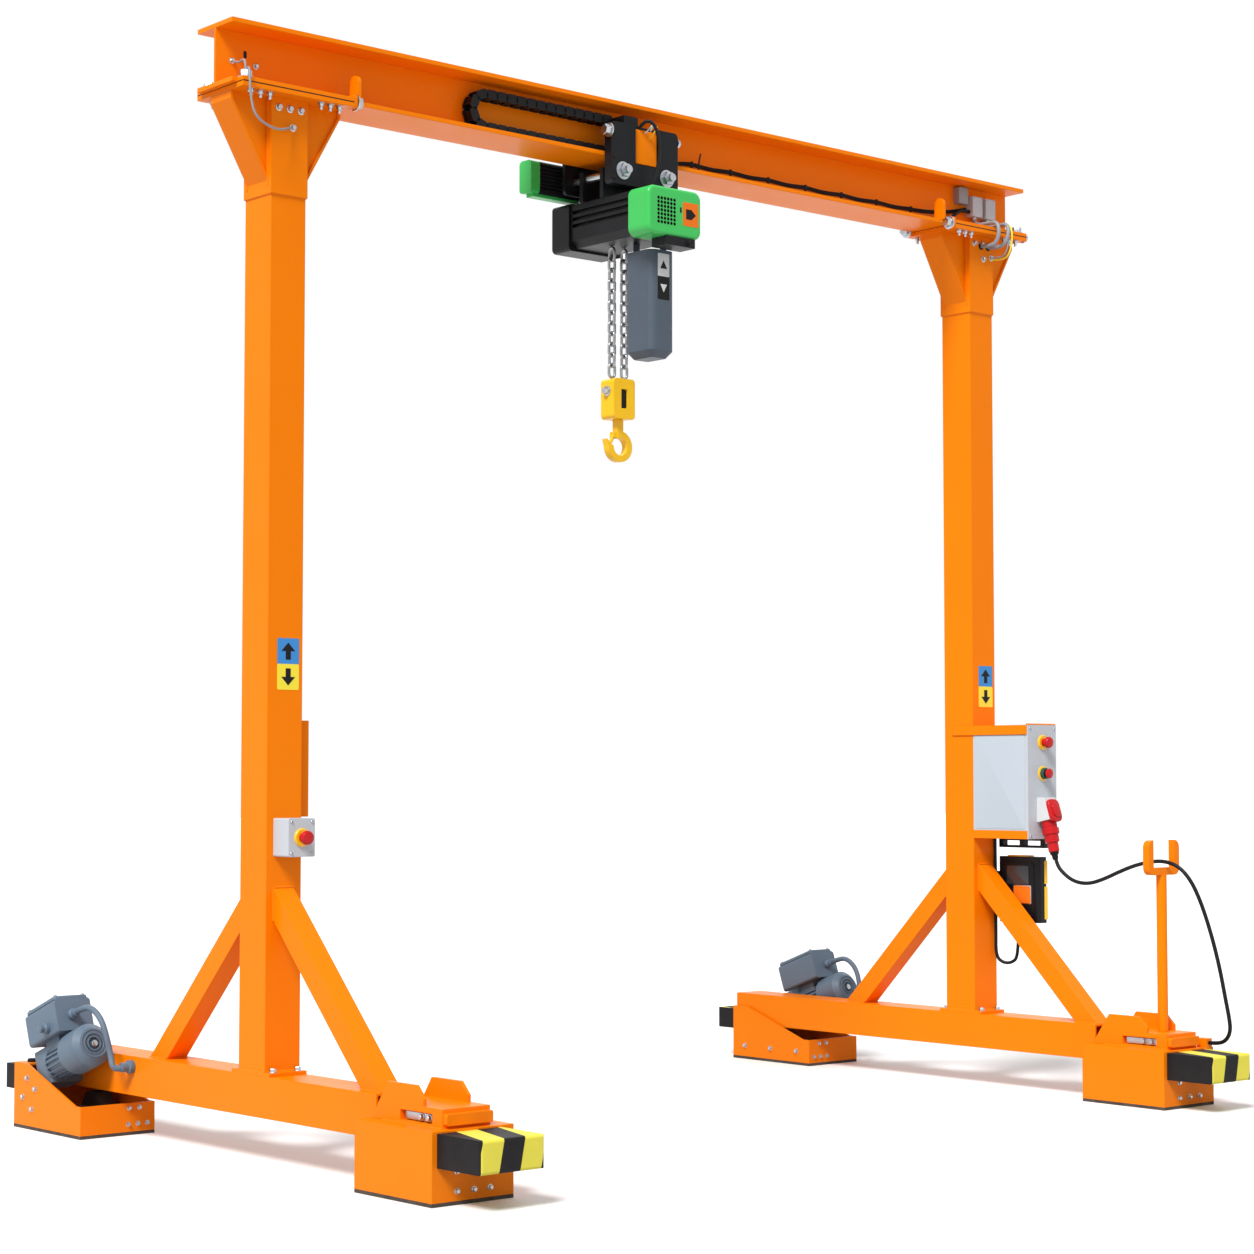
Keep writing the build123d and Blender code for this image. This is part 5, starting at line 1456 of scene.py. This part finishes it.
@dataclass
class LoadChain:
    """Two falls of welded links between the hoist and the bottom block."""

    bar: float = 0.011
    width: float = 0.040
    links: int = 12
    steps: int = 24

    def build(self) -> None:
        """Make all links in one piece that hangs between the hoist and the block."""
        low, high = node_box("load_chain")
        pitch = (high[2] - low[2] - 2 * self.bar) / self.links
        bend = (self.width - self.bar) / 2
        straight = pitch + self.bar - 2 * bend
        angle = np.linspace(0, 2 * np.pi, self.steps, endpoint=False) + np.pi / self.steps
        path = np.column_stack([bend * np.cos(angle), np.zeros(self.steps),
                                bend * np.sin(angle) + np.sign(np.sin(angle)) * straight / 2])
        link = tube(path, self.bar / 2, CHAIN, 8, closed=True)
        half = self.width / 2
        falls, y = (low[0] + half, high[0] - half), (low[1] + high[1]) / 2
        level = low[2] + self.bar + pitch / 2 + np.arange(self.links) * pitch
        places = np.array([(x, y, z) for x in falls for z in level])
        turn = np.tile(np.arange(self.links) % 2, 2)
        frames = np.repeat(np.eye(4)[None], len(places), axis=0)
        frames[:, 0, 0], frames[:, 1, 1] = 1 - turn, 1 - turn
        frames[:, 0, 1], frames[:, 1, 0] = -turn, turn
        frames[:, :3, 3] = places
        chain = add_piece("welded_chain", [link.spread(frames)], None, 80)
        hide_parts("load_chain")
        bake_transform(chain)


@dataclass
class CableChain:
    """Guide chain for the trolley's cables: lower run, loop and upper run of hollow links."""

    pitch: float = 0.046
    width: float = 0.050
    height: float = 0.035
    bend: float = 0.061
    far: float = 1000.0
    moving: float = -0.300
    cheek: float = 0.006

    def build(self) -> None:
        """Make the three stretches of links."""
        low, high = node_box("cable_chain")
        y = (low[1] + high[1]) / 2
        fixed, turn, moving = high[0], low[0] + self.height / 2 + self.bend, self.moving
        lower_z, upper_z = low[2] + self.height / 2, high[2] - self.height / 2
        lower = self._run(np.array((fixed, y, lower_z)), np.array((turn, y, lower_z)))
        upper = self._run(np.array((turn, y, upper_z)), np.array((moving, y, upper_z)))
        middle = np.array((turn, y, (lower_z + upper_z) / 2))
        stretches = {"lower": lower, "loop": self._loop(middle), "upper": upper}
        pieces = [add_piece(f"guide_chain_{name}", patches, None)
                  for name, patches in stretches.items()]
        for piece in pieces:
            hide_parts("cable_chain")
        ends = [((fixed, y, lower_z), (2 * turn - fixed, y, lower_z)),
                ((turn + self.far, y, middle[2]), (turn - self.far, y, middle[2])),
                ((2 * turn - moving, y, upper_z), (moving, y, upper_z))]
        for piece, (start, end) in zip(pieces, ends):
            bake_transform(piece)

    def _link(self) -> list[Patch]:
        """One link about the origin, its length along local Y and its width along local X.

        Returns:
            Side cheeks and the bar between them.
        """
        length, half = self.pitch, self.width / 2
        cheek = prism(rounded_outline(length * 0.56, self.height / 2, 0.012, 4), self.cheek, CABLE)
        sides = np.repeat(np.eye(4)[None], 2, axis=0)
        sides[:, :3, :3] = np.array([[0, 0, 1], [1, 0, 0], [0, 1, 0]])
        sides[:, 0, 3] = -half, half - self.cheek
        bar = prism(rounded_outline(half - 0.004, length * 0.36, 0.003, 3), self.height * 0.8, CABLE)
        level = np.eye(4)
        level[2, 3] = -self.height * 0.4
        return [cheek.spread(sides), bar.spread(level[None])]

    def _run(self, start: Array, end: Array) -> list[Patch]:
        """Links in a straight run.

        Args:
            start: First end of the run.
            end: Other end of the run.

        Returns:
            Link patches.
        """
        count = max(2, int(round(np.linalg.norm(end - start) / self.pitch)))
        way = (np.arange(count) + 0.5) / count
        frames = np.repeat(np.eye(4)[None], count, axis=0)
        frames[:, :3, :3] = np.array([[0, 1, 0], [-1, 0, 0], [0, 0, 1]])
        frames[:, :3, 3] = start + way[:, None] * (end - start)
        return [patch.spread(frames) for patch in self._link()]

    def _loop(self, middle: Array) -> list[Patch]:
        """Links round the half circle of the loop.

        Args:
            middle: Centre of the half circle.

        Returns:
            Link patches.
        """
        count = int(round(math.pi * self.bend / self.pitch))
        angle = np.pi / 2 + (np.arange(count) + 0.5) / count * np.pi
        frames = np.repeat(np.eye(4)[None], count, axis=0)
        frames[:, :3, 0] = (0, 1, 0)
        frames[:, :3, 1] = np.column_stack([-np.sin(angle), 0 * angle, np.cos(angle)])
        frames[:, :3, 2] = np.cross(frames[:, :3, 0], frames[:, :3, 1])
        frames[:, :3, 3] = middle + self.bend * np.column_stack([np.cos(angle), 0 * angle, np.sin(angle)])
        return [patch.spread(frames) for patch in self._link()]


@dataclass
class HoistDress:
    """Grille, signs and switch of the hoist, signs of the bag, and the trolley's leads and plate."""

    hole: float = 0.0110
    hole_deep: float = 0.009
    hole_pitch: Pair = (0.016, 0.015)
    hole_count: tuple[int, int] = (6, 7)
    grille_shift: float = 0.044
    sticker: Pair = (0.078, 0.090)
    bag_sign: Pair = (0.058, 0.088)
    bag_margin: float = 0.057
    plate_at: Pair = (-0.205, 3.698)
    buffer_level: float = 3.740
    buffer_in: float = 0.0135
    rod_x: Pair = (-0.327, -0.107)
    rod_level: float = 3.592
    window: Vec = (0.029, 0.073, 0.003)
    block_bolt: float = 0.030

    def build(self) -> None:
        """Dress the hoist and the trolley."""
        self._cap()
        self._bag()
        self._trolley()
        self._block()

    def _cap(self) -> None:
        """Dark linings that paint the shade in the grille's holes, a sticker with an arrow, a small mark and
        the limit switch.
        """
        low, high = node_box("hoist_motor_cap")
        x, _, z = (low + high) / 2
        steps = [np.arange(count) - (count - 1) / 2 for count in self.hole_count]
        across, up = np.meshgrid(steps[0] * self.hole_pitch[0], steps[1] * self.hole_pitch[1])
        spots = np.column_stack([(x - self.grille_shift + across).ravel(),
                                 np.full(across.size, low[1] + self.hole_deep), (z + up).ravel()])
        r, rim, face = self.hole / 2 - 0.0001, self.hole_deep - 0.0003, self.hole_deep + 0.0005
        # Dark cups in the holes: painted shade inside the grille's holes.
        hole_shade_lining = lathe([(r, 0.0), (r, rim), (r + 0.0012, face - 0.0004), (r + 0.0012, face),
                        (r - 0.0005, face), (r - 0.0005, 0.001), (0.0003, 0.001)], INK, 6)
        patches = [hole_shade_lining.at(spots, Axis.FRONT)]
        patches += sign((high[0] - 0.056, low[1], z), Axis.FRONT, *self.sticker, STICKER, INK, HOUSE, -90)
        mark = prism(rounded_outline(0.004, 0.010, 0.001, 2), 0.0008, INK)
        patches.append(mark.at([(high[0] - 0.106, low[1], z + 0.012)], Axis.FRONT))
        add_piece("cap_grille", patches, Body.TROLLEY)
        box_low, box_high = node_box("hoist_control_box")
        dial = lathe([(0.014, 0), (0.014, 0.003), (0.010, 0.005), (0.010, 0.010), (0.008, 0.012)], INK, 24)
        switch = (box_high[0] - 0.03, box_low[1], (box_low[2] + box_high[2]) / 2)
        add_piece("limit_switch", [dial.at([switch], Axis.FRONT)], Body.TROLLEY)

    def _bag(self) -> None:
        """White sticker with an up mark over a black one with a down mark."""
        low, high = node_box("chain_bag")
        width, height = self.bag_sign
        x, top = (low[0] + high[0]) / 2, high[2] - self.bag_margin - height / 2
        patches = sign((x, low[1], top), Axis.FRONT, width, height, WHITE, INK, TRIANGLE)
        patches += sign((x, low[1], top - height), Axis.FRONT, width, height, INK, WHITE, TRIANGLE, 180)
        add_piece("bag_signs", patches, Body.TROLLEY)

    def _trolley(self) -> None:
        """Orange blank plate in the pocket, buffer bolts, rod washers, two screws, and the leads."""
        low, high = node_box("trolley_plates")
        front = low[1]
        plate = rounded_block(0.112, 0.132, 0.004, 0.006, 0.0015, ORANGE)
        patches = [plate.at([(self.plate_at[0], front + 0.014, self.plate_at[1])], Axis.FRONT)]
        for x, out, across in ((low[0], Axis.LEFT, 0.042), (high[0], Axis.RIGHT, 0.030)):
            patches += hex_bolts([(x, front + self.buffer_in, self.buffer_level)], out, across)
        washer = lathe([(0.034, 0.0), (0.034, 0.0024), (0.028, 0.003)], ZINC, 32)
        patches.append(washer.at([(x, front, self.rod_level) for x in self.rod_x], Axis.FRONT))
        patches += round_screws([(-0.372, front, z) for z in (3.560, 3.640)], Axis.FRONT, 0.012, BLACK)
        add_piece("trolley_plate_fittings", patches, Body.TROLLEY)
        leads = [
            ("black", 0.013, CABLE, [
                (-0.236, 0.010, 3.772), (-0.232, -0.020, 3.800), (-0.205, -0.046, 3.780),
                (-0.186, -0.052, 3.700), (-0.192, -0.046, 3.610), (-0.212, -0.026, 3.540),
                (-0.220, -0.010, 3.504)]),
            ("white", 0.006, WHITE, [
                (-0.178, 0.012, 3.768), (-0.176, -0.006, 3.792), (-0.190, -0.018, 3.788),
                (-0.206, -0.014, 3.770), (-0.210, 0.010, 3.752)]),
            ("amber", 0.006, YELLOW, [
                (-0.160, 0.012, 3.766), (-0.160, -0.008, 3.784), (-0.172, -0.016, 3.776),
                (-0.184, -0.010, 3.750), (-0.186, 0.010, 3.736)])]
        for name, width, finish, route in leads:
            points = [(x, front + dy, z) for x, dy, z in route]
            spline_curve(f"trolley_{name}_lead", points, width, finish, Body.TROLLEY)

    def _block(self) -> None:
        """Dark plate that paints the shade inside the bottom block's window, and its side bolts."""
        low, high = node_box("bottom_block")
        x, y, z = (low + high) / 2
        # The dark plate set into the window paints the shade inside it.
        patches = [rounded_block(*self.window, 0.010, 0.001, INK).at([(x, low[1] + 0.008, z)], Axis.FRONT)]
        for out, face in ((Axis.LEFT, low[0]), (Axis.RIGHT, high[0])):
            patches += hex_bolts([(face, y, z + 0.03)], out, self.block_bolt)
        add_piece("block_fittings", patches, Body.BLOCK)


def dress_nodes() -> None:
    """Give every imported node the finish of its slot."""
    slots = {part["node"]: part["material_slot"] for part in frame["record"]["subparts"]}
    for name, node in frame["nodes"].items():
        node.data.materials.clear()
        node.data.materials.append(SLOT_FINISH[slots[name]].material())


def main() -> None:
    """Build the studio, the cords and the dressed sub-assemblies."""
    dress_nodes()
    for assembly in (Studio(), MAINS_CORD, PENDANT_LEAD, Legs(), Carriages(), Drives(), Controls(),
                     BeamWiring(), LoadChain(), CableChain(), HoistDress()):
        log.info("building %s", type(assembly).__name__)
        assembly.build()


if __name__ == "__main__":
    main()
